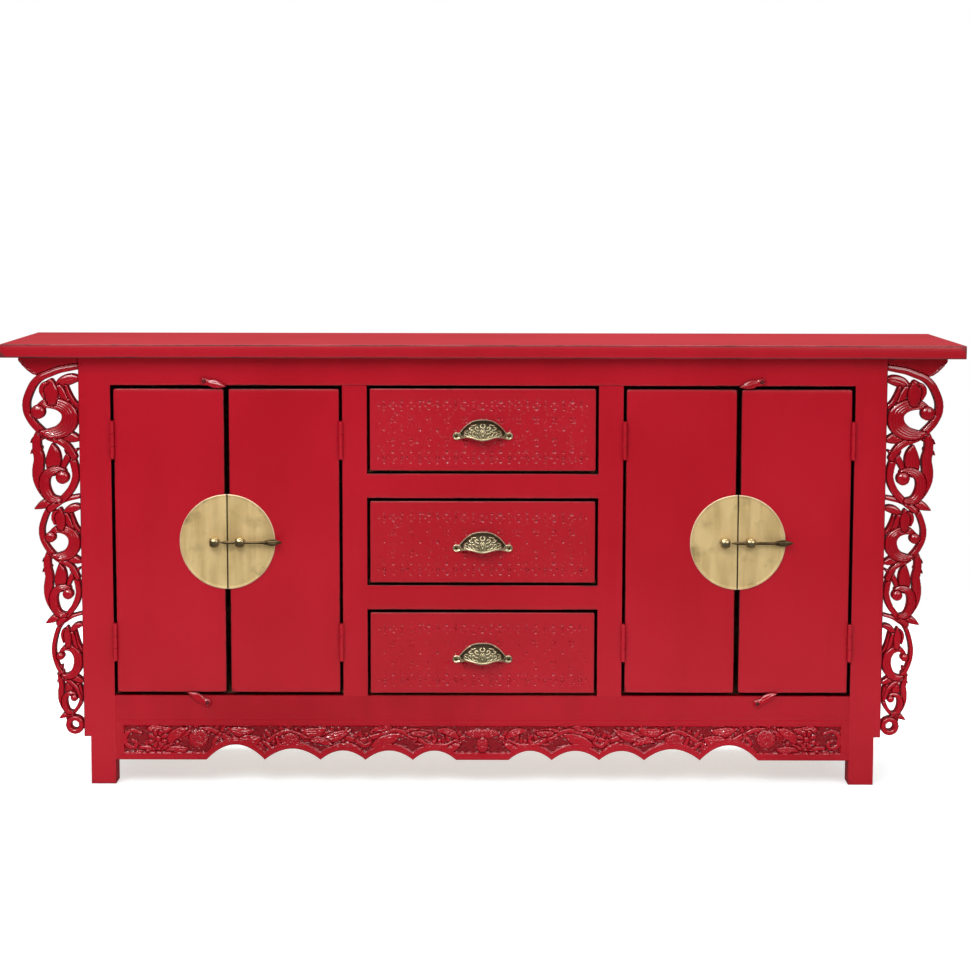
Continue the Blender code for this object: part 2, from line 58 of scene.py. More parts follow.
Point = tuple[float, float]
Stroke = list[tuple[float, float, float]]  # X, Z and half width along a carved line
FREE = 1.0  # how far a jointed side is moved out, so that its edges are neither rounded nor worn
UNWORN = 0.03  # the edge distance written on surfaces that never wear
PLAIN = {"edge": UNWORN, "hollow": 0.0, "dark": 0.0}  # the marks of a surface that has none of its own


class Side(Enum):
    """A side of a board: its axis, and whether it is the low or the high one."""

    LEFT = (0, 0)
    RIGHT = (0, 1)
    FRONT = (1, 0)
    BACK = (1, 1)
    FOOT = (2, 0)
    TOP = (2, 1)


class Slot(Enum):
    """The record's material slots."""

    RED = "red_lacquer"
    CARVED = "carved_lacquer"
    STEEL = "painted_steel"
    PLATE = "plate_brass"
    OLD_BRASS = "old_brass"
    WOOD = "plain_wood"


# ---------------------------------------------------------------- shader writing


class Wire:
    """A shader value that can be used in Python expressions."""

    def __init__(self, graph: Graph, socket: bpy.types.NodeSocket) -> None:
        """Wrap an output socket of a node tree."""
        self.graph = graph
        self.socket = socket

    def maths(self, operation: str, first: Wire | float, second: Wire | float) -> Wire:
        """Add one Math node.

        Args:
            operation: the node's operation.
            first: its first value.
            second: its second value.

        Returns:
            The node's result.
        """
        node = self.graph.node("ShaderNodeMath", {"operation": operation}, {0: first, 1: second})
        return Wire(self.graph, node.outputs[0])

    def __add__(self, other: Wire | float) -> Wire:
        """Self plus other."""
        return self.maths("ADD", self, other)

    def __radd__(self, other: float) -> Wire:
        """Other plus self."""
        return self.maths("ADD", other, self)

    def __sub__(self, other: Wire | float) -> Wire:
        """Self minus other."""
        return self.maths("SUBTRACT", self, other)

    def __rsub__(self, other: float) -> Wire:
        """Other minus self."""
        return self.maths("SUBTRACT", other, self)

    def __mul__(self, other: Wire | float) -> Wire:
        """Self times other."""
        return self.maths("MULTIPLY", self, other)

    def __rmul__(self, other: float) -> Wire:
        """Other times self."""
        return self.maths("MULTIPLY", other, self)

    def greater(self, other: Wire | float) -> Wire:
        """The larger of self and other."""
        return self.maths("MAXIMUM", self, other)

    def between(self, low: float, high: float) -> Wire:
        """A smooth step.

        Args:
            low: where the step starts, at 0.
            high: where it ends, at 1.

        Returns:
            The step's value.
        """
        settings = {"interpolation_type": "SMOOTHSTEP"}
        node = self.graph.node("ShaderNodeMapRange", settings, {0: self, 1: low, 2: high})
        return Wire(self.graph, node.outputs[0])


class Graph:
    """A node tree, with one way of adding nodes to it."""

    def __init__(self, tree: bpy.types.NodeTree) -> None:
        """Work on that tree."""
        self.tree = tree

    def node(self, kind: str, settings: dict, sockets: dict) -> bpy.types.Node:
        """Add a node.

        Args:
            kind: the node's type.
            settings: its own properties, which are set first.
            sockets: values or wires for its inputs, by name or number.

        Returns:
            The node.
        """
        made = self.tree.nodes.new(kind)
        for key, value in settings.items():
            setattr(made, key, value)
        for key, value in sockets.items():
            self.feed(made.inputs[key], value)
        return made

    def feed(self, socket: bpy.types.NodeSocket, value: object) -> None:
        """Fill an input.

        Args:
            socket: the input.
            value: a number, a colour, a vector, a wire or another node's output.
        """
        if isinstance(value, Wire):
            self.tree.links.new(value.socket, socket)
        elif isinstance(value, bpy.types.NodeSocket):
            self.tree.links.new(value, socket)
        elif isinstance(value, tuple) and len(value) == 3 and socket.type == "RGBA":
            socket.default_value = (*value, 1.0)
        else:
            socket.default_value = value


class Paint(Graph):
    """A material under construction, around one Principled shader."""

    def __init__(self, name: str) -> None:
        """Start an empty material.

        Args:
            name: the material's name.
        """
        self.material = bpy.data.materials.new(name)
        self.material.use_nodes = True
        super().__init__(self.material.node_tree)
        self.shader = self.tree.nodes["Principled BSDF"]
        self.coordinates = self.node("ShaderNodeTexCoord", {}, {}).outputs["Object"]

    def noise(
        self, scale: float, detail: float = 2.0, stretch: tuple = (1, 1, 1), shift: float = 0.0
    ) -> Wire:
        """Smooth noise around 0.5.

        Args:
            scale: how many bumps there are to a metre.
            detail: how many finer layers there are.
            stretch: how much tighter it is along each axis.
            shift: where in the noise this one lies.

        Returns:
            The noise.
        """
        place = {"Vector": self.coordinates, "Scale": stretch, "Location": (shift, shift, shift)}
        mapping = self.node("ShaderNodeMapping", {}, place)
        values = {"Vector": mapping.outputs[0], "Scale": scale, "Detail": detail}
        return Wire(self, self.node("ShaderNodeTexNoise", {}, values).outputs[0])

    def mark(self, name: str) -> Wire:
        """A value that the mesh carries at its points."""
        settings = {"attribute_name": name, "attribute_type": "GEOMETRY"}
        return Wire(self, self.node("ShaderNodeAttribute", settings, {}).outputs["Fac"])

    def blend(self, share: Wire, low: Wire | Colour, high: Wire | Colour) -> Wire:
        """Mix two colours, of which the second takes up that share."""
        node = self.node("ShaderNodeMix", {"data_type": "RGBA"}, {0: share, 6: low, 7: high})
        return Wire(self, node.outputs[2])

    def bump(self, height: Wire, distance: float, strength: float = 1.0) -> Wire:
        """A normal from heights between 0 and 1, where 1 stands that distance in metres."""
        values = {"Height": height, "Distance": distance, "Strength": strength}
        return Wire(self, self.node("ShaderNodeBump", {}, values).outputs[0])

    def finish(self, **sockets: object) -> bpy.types.Material:
        """Set the shader and hand the material over.

        Args:
            **sockets: the shader's inputs, in small letters with underscores.

        Returns:
            The finished material.
        """
        for key, value in sockets.items():
            self.feed(self.shader.inputs[key.replace("_", " ").title().replace("Ior", "IOR")], value)
        return self.material


# ---------------------------------------------------------------- finishes


@dataclass(frozen=True)
class Lacquer:
    """Red lacquer over a dark undercoat: rubbed through at the edges, painted shade in the hollows, and black
    paint with painted shade on the sides that face the gaps.
    """

    name: str
    red: Colour = (0.398, 0.0028, 0.0130)
    deep: Colour = (0.352, 0.0024, 0.0100)
    undercoat: Colour = (0.035, 0.0025, 0.0035)
    # Near black on the sides that face the gaps: black paint in the rebates and painted shade in the gaps.
    black_paint_and_shade: Colour = (0.020, 0.0022, 0.0030)
    worn_width: float = 0.0022
    ragged: float = 0.004
    wear: float = 0.9
    roughness: float = 0.30
    coat: float = 0.12
    coat_roughness: float = 0.12
    specular: float = 0.36
    # How strongly painted shade darkens the hollows.
    hollow_shade: float = 0.72
    bump: float = 0.00016
    patchy: float = 0.65
    mottle: float = 0.14
    rubbed: float = 0.25
    clouds: float = 3.0
    brush_marks: float = 30.0
    patches: float = 9.0
    chips: float = 90.0
    grain: float = 420.0

    def material(self) -> bpy.types.Material:
        """Build the material.

        Returns:
            The material.
        """
        paint = Paint(self.name)
        cloud = paint.noise(self.clouds, 4.0)
        brush = paint.noise(self.brush_marks, 2.0, (1, 1, 0.12), 3.0)
        grain = paint.noise(self.grain, 3.0)
        chips = paint.noise(self.chips, 4.0, shift=7.0)
        patches = paint.noise(self.patches, 2.0, shift=11.0).between(0.38, 0.62)
        ragged = paint.mark("edge") + (chips - 0.5) * self.ragged
        worn = 1 - ragged.between(0.0, self.worn_width)
        worn = worn * ((1 - self.patchy) + self.patchy * patches) * self.wear
        # Painted shade: the deeper a hollow lies, the more of the undercoat colour it gets.
        hollow = paint.mark("hollow").between(0.25, 1.0)
        # Sides that face the gaps, painted near black: black paint and painted shade.
        dark = paint.mark("dark")
        colour = paint.blend((cloud * 0.8 + brush * 0.2).between(0.36, 0.64), self.deep, self.red)
        colour = paint.blend(hollow * self.hollow_shade, colour, self.undercoat)
        colour = paint.blend(worn, colour, self.undercoat)
        colour = paint.blend(dark, colour, self.black_paint_and_shade)
        return paint.finish(
            base_color=colour,
            roughness=self.roughness + (cloud - 0.5) * self.mottle + worn * self.rubbed + dark * 0.3,
            coat_weight=self.coat * (1 - worn.greater(dark)),
            coat_roughness=self.coat_roughness,
            specular_ior_level=self.specular,
            normal=paint.bump(grain, self.bump, 0.5),
        )


@dataclass(frozen=True)
class Brass:
    """Brass sheet or castings, with mottled tarnish, dark patina in the recesses, painted shade round the
    moon plate's eye and a painted highlight along the rim.
    """

    name: str
    bright: Colour
    dull: Colour
    tarnish: Colour
    patina: Colour = (0.030, 0.024, 0.010)
    # The rim colour is a painted highlight along the outline.
    rim: Colour = (0.95, 0.70, 0.50)
    rim_highlight_width: float = 0.0018
    rim_highlight_share: float = 0.0
    tarnished: float = 0.35
    roughness: float = 0.34
    metallic: float = 0.8
    streaks: float = 0.12

    def material(self) -> bpy.types.Material:
        """Build the material.

        Returns:
            The material.
        """
        paint = Paint(self.name)
        cloud = paint.noise(16.0, 4.0)
        streak = paint.noise(55.0, 3.0, (1, 1, self.streaks), 2.0)
        speck = paint.noise(260.0, 3.0, shift=5.0)
        blot = paint.noise(24.0, 4.0, shift=9.0).between(0.52, 0.72)
        hollow = paint.mark("hollow")
        edge = paint.mark("edge")
        colour = paint.blend((cloud * 0.45 + streak * 0.55).between(0.38, 0.62), self.dull, self.bright)
        near_rim = 1 - edge.between(0.001, 0.022)
        stain = (blot * self.tarnished + near_rim * blot * 0.5) * (0.6 + 0.4 * speck)
        colour = paint.blend(stain, colour, self.tarnish)
        # Patina in the recesses; on the moon plate this mark also holds painted shade round the eye.
        colour = paint.blend(hollow.between(0.1, 0.9), colour, self.patina)
        # Painted highlight: the rim colour along the outline.
        rim = (1 - edge.between(0.0, self.rim_highlight_width)) * self.rim_highlight_share
        return paint.finish(
            base_color=paint.blend(rim, colour, self.rim),
            metallic=self.metallic,
            roughness=self.roughness + (streak - 0.5) * 0.2 + stain * 0.2 + hollow * 0.25,
            normal=paint.bump(speck * 0.3 + streak * 0.7, 0.0004, 0.35),
        )


@dataclass(frozen=True)
class BareWood:
    """Unfinished softwood, with grain along one axis."""

    name: str
    pale: Colour = (0.50, 0.32, 0.17)
    dark: Colour = (0.33, 0.18, 0.085)
    along: tuple = (0.06, 1.0, 1.0)

    def material(self) -> bpy.types.Material:
        """Build the material.

        Returns:
            The material.
        """
        paint = Paint(self.name)
        grain = paint.noise(70.0, 5.0, self.along)
        fibre = paint.noise(500.0, 2.0, self.along, 4.0)
        colour = paint.blend((grain * 0.7 + fibre * 0.3).between(0.32, 0.68), self.dark, self.pale)
        relief = paint.bump(grain * 0.5 + fibre * 0.5, 0.0006, 0.5)
        return paint.finish(base_color=colour, roughness=0.62 + fibre * 0.2, normal=relief)


@dataclass(frozen=True)
class StudioWhite:
    """The matt white of the studio's floor, which glows a little."""

    name: str
    white: Colour = (0.60, 0.67, 0.68)
    glow: float = 0.55

    def material(self) -> bpy.types.Material:
        """Build the material."""
        light = {"emission_color": (1.0, 1.0, 1.0), "emission_strength": self.glow}
        return Paint(self.name).finish(base_color=self.white, roughness=0.9, **light)


class Finishes:
    """Every finish of the sideboard, made once."""

    def __init__(self) -> None:
        """Build the materials."""
        self.red = Lacquer("red lacquer").material()
        self.carved = Lacquer(
            "carved red lacquer", (0.37, 0.0028, 0.0115), (0.28, 0.0022, 0.0080), (0.080, 0.0014, 0.0032),
            worn_width=0.0013, ragged=0.003, wear=0.6, roughness=0.16, coat=1.0, coat_roughness=0.05,
            specular=0.5, hollow_shade=0.75, rubbed=0.5,
        ).material()
        self.apron = Lacquer(
            "apron red lacquer", (0.38, 0.0028, 0.0120), (0.30, 0.0022, 0.0085), (0.075, 0.0014, 0.0030),
            worn_width=0.0013, ragged=0.003, wear=0.5, roughness=0.24, coat=0.7, coat_roughness=0.08,
            specular=0.4, hollow_shade=0.62, rubbed=0.5,
        ).material()
        self.notched = Lacquer(
            "notched red lacquer", undercoat=(0.150, 0.0020, 0.0045), wear=0.8, roughness=0.34, coat=0.3,
            hollow_shade=0.6,
        ).material()
        self.top = Lacquer(
            "red lacquer top", worn_width=0.0040, ragged=0.002, wear=1.0, coat=0.3, specular=0.5,
            bump=0.00005, patchy=0.3, mottle=0.03, rubbed=0.6,
        ).material()
        self.steel = Lacquer("red painted steel", ragged=0.002, wear=0.5, roughness=0.36).material()
        self.plate = Brass(
            "moon plate brass", (0.88, 0.645, 0.305), (0.70, 0.485, 0.205), (0.34, 0.24, 0.095),
            rim=(0.95, 0.72, 0.56), rim_highlight_share=0.95, tarnished=0.55, roughness=0.5, metallic=0.6,
        ).material()
        self.pin = Brass(
            "lock pin brass", (0.17, 0.115, 0.050), (0.085, 0.055, 0.025), (0.05, 0.035, 0.015),
            roughness=0.3,
        ).material()
        self.eye = Brass(
            "eye brass", (0.58, 0.46, 0.25), (0.36, 0.27, 0.13), (0.10, 0.07, 0.03),
            roughness=0.24, metallic=0.9,
        ).material()
        self.pull = Brass(
            "cup pull brass", (0.66, 0.56, 0.36), (0.46, 0.38, 0.21), (0.16, 0.13, 0.06),
            rim=(0.92, 0.74, 0.54), rim_highlight_share=0.45, rim_highlight_width=0.0022, roughness=0.3, streaks=1.0,
        ).material()
        self.wood = BareWood("bare softwood").material()
        self.drawer_wood = BareWood("drawer softwood", along=(1.0, 0.06, 1.0)).material()


# ---------------------------------------------------------------- mesh making


@dataclass
class Shape:
    """Points, faces and the marks that the finishes read."""

    points: np.ndarray
    faces: list[list[int]]
    marks: dict[str, np.ndarray] = field(default_factory=dict)

    def mark(self, name: str) -> np.ndarray:
        """One value for each point."""
        return self.marks.get(name, np.full(len(self.points), PLAIN[name]))

    def moved(self, place: Matrix) -> Shape:
        """The same shape somewhere else.

        Args:
            place: the move, which may be a mirror.

        Returns:
            The moved shape.
        """
        points = self.points @ np.array(place.to_3x3()).T + np.array(place.translation)
        mirrored = place.determinant() < 0
        faces = [face[::-1] for face in self.faces] if mirrored else self.faces
        return Shape(points, faces, self.marks)

    def joined(self, *others: Shape) -> Shape:
        """Several shapes as one.

        Args:
            *others: the shapes to join to this one, in order.

        Returns:
            The joined shape.
        """
        parts = (self, *others)
        starts = np.cumsum([0, *(len(part.points) for part in parts)])
        faces = [[i + int(start) for i in face] for part, start in zip(parts, starts) for face in part.faces]
        marks = {key: np.concatenate([part.mark(key) for part in parts]) for key in PLAIN}
        return Shape(np.concatenate([part.points for part in parts]), faces, marks)

    def piece(
        self,
        name: str,
        finish: bpy.types.Material,
        body: str,
        slot: Slot,
        nodes: tuple[str, ...] = (),
        crease: float = 50.0,
    ) -> None:
        """Make a finished object.

        Args:
            name: the piece's name.
            finish: its material.
            body: the CAD body that it rides on.
            slot: the record's slot that its finish belongs to; not used.
            nodes: the CAD nodes that it stands for.
            crease: the angle in degrees above which an edge is sharp.
        """
        mesh = bpy.data.meshes.new(name)
        mesh.from_pydata(self.points.tolist(), [], self.faces)
        for key in PLAIN:
            layer = mesh.attributes.new(key, "FLOAT", "POINT")
            layer.data.foreach_set("value", self.mark(key).astype(np.float32))
        mesh.materials.append(finish)
        mesh.shade_smooth()
        mesh.set_sharp_from_angle(angle=math.radians(crease))
        made = bpy.data.objects.new(name, mesh)
        bpy.context.scene.collection.objects.link(made)
        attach(made, body)
        if nodes:
            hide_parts(*nodes)
        LOG.info("%s: %d faces on %s", name, len(self.faces), body)


def smooth_line(points: list[tuple[float, ...]], step: float) -> np.ndarray:
    """A smooth curve through points, whose extra columns, such as widths, are carried along.

    Args:
        points: the points that it passes through, each starting with two coordinates.
        step: the distance between the curve's points.

    Returns:
        The curve's points, one to a row.
    """
    given = np.array(points, float)
    if len(given) == 1:
        return given
    padded = np.vstack([2 * given[0] - given[1], given, 2 * given[-1] - given[-2]])
    rows = []
    for before, start, end, after in zip(padded, padded[1:], padded[2:], padded[3:]):
        count = max(2, math.ceil(np.linalg.norm((end - start)[:2]) / step))
        t = np.arange(count)[:, None] / count
        straight = 2 * start + (end - before) * t
        bent = (2 * before - 5 * start + 4 * end - after) * t**2
        rows.append(0.5 * (straight + bent + (3 * start - before - 3 * end + after) * t**3))
    return np.vstack([*rows, given[-1:]])


def axis_lines(low: float, high: float, radius: float, band: float, step: float) -> np.ndarray:
    """Where a board's grid lines lie along one axis, closer together near its edges.

    Args:
        low: the board's low side.
        high: its high side.
        radius: the rounding of its edges.
        band: how wide the strip is beside an edge that can wear.
        step: the lines' greatest distance elsewhere.

    Returns:
        The lines' places, in order.
    """
    near = [low, low + 0.3 * radius, low + radius, low + band]
    far = [high - band, high - radius, high - 0.3 * radius, high]
    if far[0] <= near[-1]:
        return np.array(near[:3] + far[1:])
    count = max(1, math.ceil((far[0] - near[-1]) / step))
    return np.array([*near[:3], *np.linspace(near[-1], far[0], count + 1), *far[1:]])


def ridge(away: np.ndarray, half: float) -> np.ndarray:
    """A soft ridge, which is 1 where the distance is 0."""
    return np.exp(-((away / half) ** 2))


def joint_place(name: str) -> list[float]:
    """The point that a joint of the frame turns or slides about."""
    return next(joint["pos_m"] for joint in frame["joints"] if joint["name"] == name)


def turned(profile: list[Point], place: Matrix, sides: int = 32, ring: bool = False) -> Shape:
    """A solid of revolution about its own Z axis.

    Args:
        profile: radius and height pairs from one end of the axis to the other.
        place: where it stands.
        sides: how many sides it has.
        ring: whether it is bored right through, so that its last point joins its first.

    Returns:
        The closed shape.
    """
    turns = 2 * np.pi * np.arange(sides) / sides
    rings = [np.column_stack([r * np.cos(turns), r * np.sin(turns), np.full(sides, h)]) for r, h in profile]
    ends = np.array([[0, 0, profile[0][1]], [0, 0, profile[-1][1]]], float)
    points = np.vstack(rings if ring else [*rings, ends])
    faces = []
    first, last = len(points) - 2, len(points) - 1
    top = (len(profile) - 1) * sides
    for i in range(sides):
        k = (i + 1) % sides
        for row in range(len(profile) if ring else len(profile) - 1):
            low, high = row * sides, (row + 1) % len(profile) * sides
            faces.append([low + i, low + k, high + k, high + i])
        if not ring:
            faces.append([first, k, i])
            faces.append([last, top + i, top + k])
    return Shape(points, faces).moved(place)


@dataclass
class Board:
    """A board with softened edges, which stands for one box-shaped CAD node."""

    node: str
    body: str = "carcass"
    radius: float = 0.0012
    corner: float = 0.0
    jointed: tuple[Side, ...] = ()
    # Sides that face a gap between parts are painted near black: black paint in the rebates and painted shade
    # in the gaps.
    dark: tuple[Side, ...] = ()
    dark_from: float = -9.0
    dark_to: float = 9.0
    stretch: tuple[Vector, Vector] = (Vector(), Vector())
    band: float = 0.010
    step: float = 0.05
    box: tuple[Vector, Vector] | None = None
    free_below: float = -9.0
    cuts: tuple[float, ...] = ()
    cut_width: float = 0.0004

    def shape(self) -> Shape:
        """Build the board's shape.

        Returns:
            The closed shape, marked with its distance from the worn edges and its dark sides, which carry
            black paint and painted shade.
        """
        ends = self.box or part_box(self.node)
        low, high = (np.array(v) + np.array(s) for v, s in zip(ends, self.stretch))
        lines = [axis_lines(low[a], high[a], self.radius, self.band, self.step) for a in range(3)]
        lines[2] = np.sort(np.concatenate([lines[2], self.cuts, np.add(self.cuts, self.cut_width)]))
        counts = [len(line) for line in lines]
        keys, faces = self.skin(counts)
        flat = np.column_stack([lines[a][keys[:, a]] for a in range(3)])
        open_low, open_high = low.copy(), high.copy()
        for side in self.jointed:
            axis, end = side.value
            if end:
                open_high[axis] += FREE
            else:
                open_low[axis] -= FREE
        jointed = np.minimum(flat - open_low, open_high - flat)
        free = np.minimum(flat - low, high - flat)
        gaps = np.sort(np.where(flat[:, 2:] < self.free_below, free, jointed), axis=1)
        # The sides that face the gaps get the dark mark: black paint and painted shade.
        dark = np.zeros(len(flat))
        inside = (flat[:, 1] > low[1] + self.radius / 2) & (flat[:, 2] > self.dark_from)
        inside &= flat[:, 2] < self.dark_to
        for side in self.dark:
            axis, end = side.value
            on_side = keys[:, axis] == (counts[axis] - 1 if end else 0)
            dark[on_side & inside] = 1.0
        marks = {"edge": np.minimum(gaps[:, 1], UNWORN), "dark": dark}
        return Shape(self.soften(flat, open_low, open_high), faces, marks)

    def skin(self, counts: list[int]) -> tuple[np.ndarray, list[list[int]]]:
        """Lay a grid over the six sides.

        Args:
            counts: how many grid lines lie along each axis.

        Returns:
            Each point's line numbers along the three axes, and the faces.
        """
        index: dict[tuple[int, ...], int] = {}
        faces: list[list[int]] = []
        for axis in range(3):
            across, up = (axis + 1) % 3, (axis + 2) % 3
            for end in (0, counts[axis] - 1):
                for i in range(counts[across] - 1):
                    for j in range(counts[up] - 1):
                        ring = []
                        for di, dj in ((0, 0), (1, 0), (1, 1), (0, 1)):
                            key = [0, 0, 0]
                            key[axis], key[across], key[up] = end, i + di, j + dj
                            ring.append(index.setdefault(tuple(key), len(index)))
                        faces.append(ring if end else ring[::-1])
        return np.array(list(index)), faces

    def soften(self, flat: np.ndarray, low: np.ndarray, high: np.ndarray) -> np.ndarray:
        """Round the edges.

        Args:
            flat: points on the sharp board.
            low: the lowest corner, moved out where a side is jointed.
            high: the highest corner, moved out likewise.

        Returns:
            The rounded points.
        """
        points = flat.copy()
        if self.corner:
            core = np.clip(points[:, ::2], low[::2] + self.corner, high[::2] - self.corner)
            out = points[:, ::2] - core
            length = np.maximum(np.linalg.norm(out, axis=1), 1e-9)
            points[:, ::2] = core + out * (np.abs(out).max(1) / length)[:, None]
        core = np.clip(flat, low + self.radius, high - self.radius)
        out = flat - core
        length = np.maximum(np.linalg.norm(out, axis=1), 1e-9)
        return points - out + out * (np.abs(out).max(1) / length)[:, None]

    def make(self, name: str, finish: bpy.types.Material, slot: Slot = Slot.RED) -> None:
        """Build the board as a piece that stands for its node."""
        self.shape().piece(name, finish, self.body, slot, (self.node,), 30.0)


# ---------------------------------------------------------------- carving


class Carving:
    """A flat panel in the X-Z plane that is drawn on with raised strokes and cuts, then made solid."""

    MOAT_DEPTH = 0.002
    FINEST_GROOVE = 0.0009
    FINEST_STEP = 0.0008
    BEVEL = 0.0012

    def __init__(self, low: Point, high: Point, step: float, ground: float = 0.0, fold: bool = False) -> None:
        """Lay out the grid.

        Args:
            low: the lowest corner of the drawing, in X and Z.
            high: the highest corner.
            step: the grid's spacing.
            ground: how high the bare ground stands.
            fold: whether a drawing on the +X side repeats on the other.
        """
        counts = [math.ceil((b - a) / step) + 1 for a, b in zip(low, high)]
        self.xs = np.linspace(low[0], high[0], counts[0])
        self.zs = np.linspace(low[1], high[1], counts[1])
        x, self.z = np.meshgrid(self.xs, self.zs, indexing="ij")
        self.real_x = x
        self.x = np.abs(x) if fold else x
        self.step = step
        self.rise = np.full(x.shape, ground)
        self.outside = np.full(x.shape, 1.0)
        self.soft: np.ndarray | None = None
        self.stain: np.ndarray | None = None

    def extend_up(self, heights: list[float]) -> None:
        """Add grid rows above the drawing, which lie further apart, and clear the drawing.

        Args:
            heights: the rows' heights.
        """
        self.zs = np.concatenate([self.zs, heights])
        self.real_x, self.z = np.meshgrid(self.xs, self.zs, indexing="ij")
        self.x = np.abs(self.real_x)
        self.rise = np.zeros(self.x.shape)
        self.outside = np.full(self.x.shape, 1.0)

    def window(self, line: np.ndarray, margin: float) -> tuple[np.ndarray, ...]:
        """The grid points around a line.

        Args:
            line: X, Z and half width, one point to a row.
            margin: how far beyond the half width they reach.

        Returns:
            Their row and column numbers.
        """
        reach = line[:, 2].max() + margin
        near = (self.x > line[:, 0].min() - reach) & (self.x < line[:, 0].max() + reach)
        near &= (self.z > line[:, 1].min() - reach) & (self.z < line[:, 1].max() + reach)
        return np.nonzero(near)

    def stroke(
        self,
        points: Stroke,
        rise: float,
        base: float = 0.0,
        grooves: tuple[float, ...] = (),
        moat: float = 0.0011,
        flat: float = 2.0,
        vein: float = 0.0007,
    ) -> None:
        """Raise a band along a smooth line.

        Args:
            points: X, Z and half width at the points that the line passes through.
            rise: how high the band's middle stands above its base.
            base: how high its edges stand.
            grooves: where grooves run along it, as shares of its half width from its middle.
            moat: how wide the cut is that sets it off from what lies under it.
            flat: how flat its top is; 2 is round, and more is flatter.
            vein: how deep its grooves are.
        """
        line = smooth_line(points, max(self.FINEST_STEP, self.step * 0.8))
        at = self.window(line, 3 * moat + self.step)
        if not len(at[0]):
            return
        spots = np.column_stack([self.x[at], self.z[at]])
        best = np.full(len(spots), 9.0)
        which = np.zeros(len(spots), int)
        for start in range(0, len(line), 64):
            part = line[start : start + 64]
            away = np.linalg.norm(spots[:, None] - part[None, :, :2], axis=2) - part[None, :, 2]
            least = away.argmin(1)
            value = away[np.arange(len(spots)), least]
            closer = value < best
            best[closer], which[closer] = value[closer], least[closer] + start
        half = np.maximum(line[which, 2], 1e-5)
        share = np.clip((best + half) / half, 0, 1)
        top = base + rise * (1 - share**flat) ** (1 / flat)
        if grooves:
            along = np.gradient(line[:, :2], axis=0)
            along /= np.maximum(np.linalg.norm(along, axis=1), 1e-9)[:, None]
            off = spots - line[which, :2]
            lateral = (along[which, 0] * off[:, 1] - along[which, 1] * off[:, 0]) / half
            for groove in grooves:
                top -= vein * ridge((lateral - groove) * half, max(self.FINEST_GROOVE, 0.9 * self.step))
        held = self.rise[at]
        if moat:
            cut = base - self.MOAT_DEPTH
            ring = np.clip(best / moat, 0, 1)
            held = np.where((best > 0) & (best < moat), np.minimum(held, cut + (held - cut) * ring), held)
        self.rise[at] = np.where(best <= 0, np.maximum(top, base), held)
        self.outside[at] = np.minimum(self.outside[at], best)

    def knob(self, x: float, z: float, radius: float, rise: float, base: float = 0.0) -> None:
        """Raise a round ball or boss."""
        self.stroke([(x, z, radius)], rise, base)

    def chip(self, x: float, z: float, wide: float, high: float, depth: float) -> None:
        """Cut a notch with four sloping sides.

        Args:
            x: its middle.
            z: its middle.
            wide: its half width.
            high: its half height.
            depth: how deep its point is.
        """
        near = (np.abs(self.x - x) < wide) & (np.abs(self.z - z) < high)
        slope = 1 - np.abs(self.x[near] - x) / wide - np.abs(self.z[near] - z) / high
        self.rise[near] = np.minimum(self.rise[near], self.rise[near] - depth * np.maximum(slope, 0))

    def fill(self, outline: list[Point], rise: float | None = None) -> None:
        """Add a flat area to the panel.

        Args:
            outline: its corners.
            rise: how high it stands, or None to leave the heights as they are.
        """
        distance = np.full(self.x.shape, 9.0)
        inside = np.zeros(self.x.shape, bool)
        for (ax, az), (bx, bz) in zip(outline, outline[1:] + outline[:1]):
            dx, dz = bx - ax, bz - az
            share = np.clip(((self.x - ax) * dx + (self.z - az) * dz) / max(dx * dx + dz * dz, 1e-12), 0, 1)
            distance = np.minimum(distance, np.hypot(self.x - ax - share * dx, self.z - az - share * dz))
            crossing = (az > self.z) != (bz > self.z)
            if bz != az:
                inside ^= crossing & (self.x < ax + (self.z - az) / (bz - az) * dx)
        signed = np.where(inside, -distance, distance)
        if rise is not None:
            self.rise = np.where(signed < 0, np.maximum(self.rise, rise), self.rise)
        self.outside = np.minimum(self.outside, signed)

    def drill(self, x: float, z: float, wide: float, high: float) -> None:
        """Make an oval hole."""
        hole = (1 - np.hypot((self.x - x) / wide, (self.z - z) / high)) * min(wide, high)
        self.outside = np.maximum(self.outside, hole)

    def cells(self) -> tuple[np.ndarray, list[list[int]], list[tuple[int, int]]]:
        """Cut the grid along the outline.

        Returns:
            The weights that make each point from two grid points (their flat numbers and the share
            of the second), the faces, and the outline's segments.
        """
        outside = self.outside
        inner = outside < 0
        flat = np.arange(outside.size).reshape(outside.shape)
        rows = [np.column_stack([flat[inner], flat[inner], np.zeros(inner.sum())])]
        corner = np.full(outside.shape, -1)
        corner[inner] = np.arange(inner.sum())
        total = int(inner.sum())
        crossings = []
        for axis in (0, 1):
            here = (slice(None, -1), slice(None)) if axis == 0 else (slice(None), slice(None, -1))
            there = (slice(1, None), slice(None)) if axis == 0 else (slice(None), slice(1, None))
            crossed = inner[here] != inner[there]
            ids = np.full(crossed.shape, -1)
            ids[crossed] = total + np.arange(crossed.sum())
            a, b = outside[here][crossed], outside[there][crossed]
            share = np.clip(a / (a - b), 0.02, 0.98)
            rows.append(np.column_stack([flat[here][crossed], flat[there][crossed], share]))
            total += int(crossed.sum())
            crossings.append(ids)
        along_x, along_z = crossings
        square = [corner[:-1, :-1], corner[1:, :-1], corner[1:, 1:], corner[:-1, 1:]]
        sides = [along_x[:, :-1], along_z[1:, :], along_x[:, 1:], along_z[:-1, :]]
        code = sum((part >= 0).astype(int) << i for i, part in enumerate(square))
        faces: list[list[int]] = []
        rim: list[tuple[int, int]] = []
        for case in range(1, 16):
            at = np.nonzero(code == case)
            if not len(at[0]):
                continue
            columns, leaving = [], []
            for i in range(4):
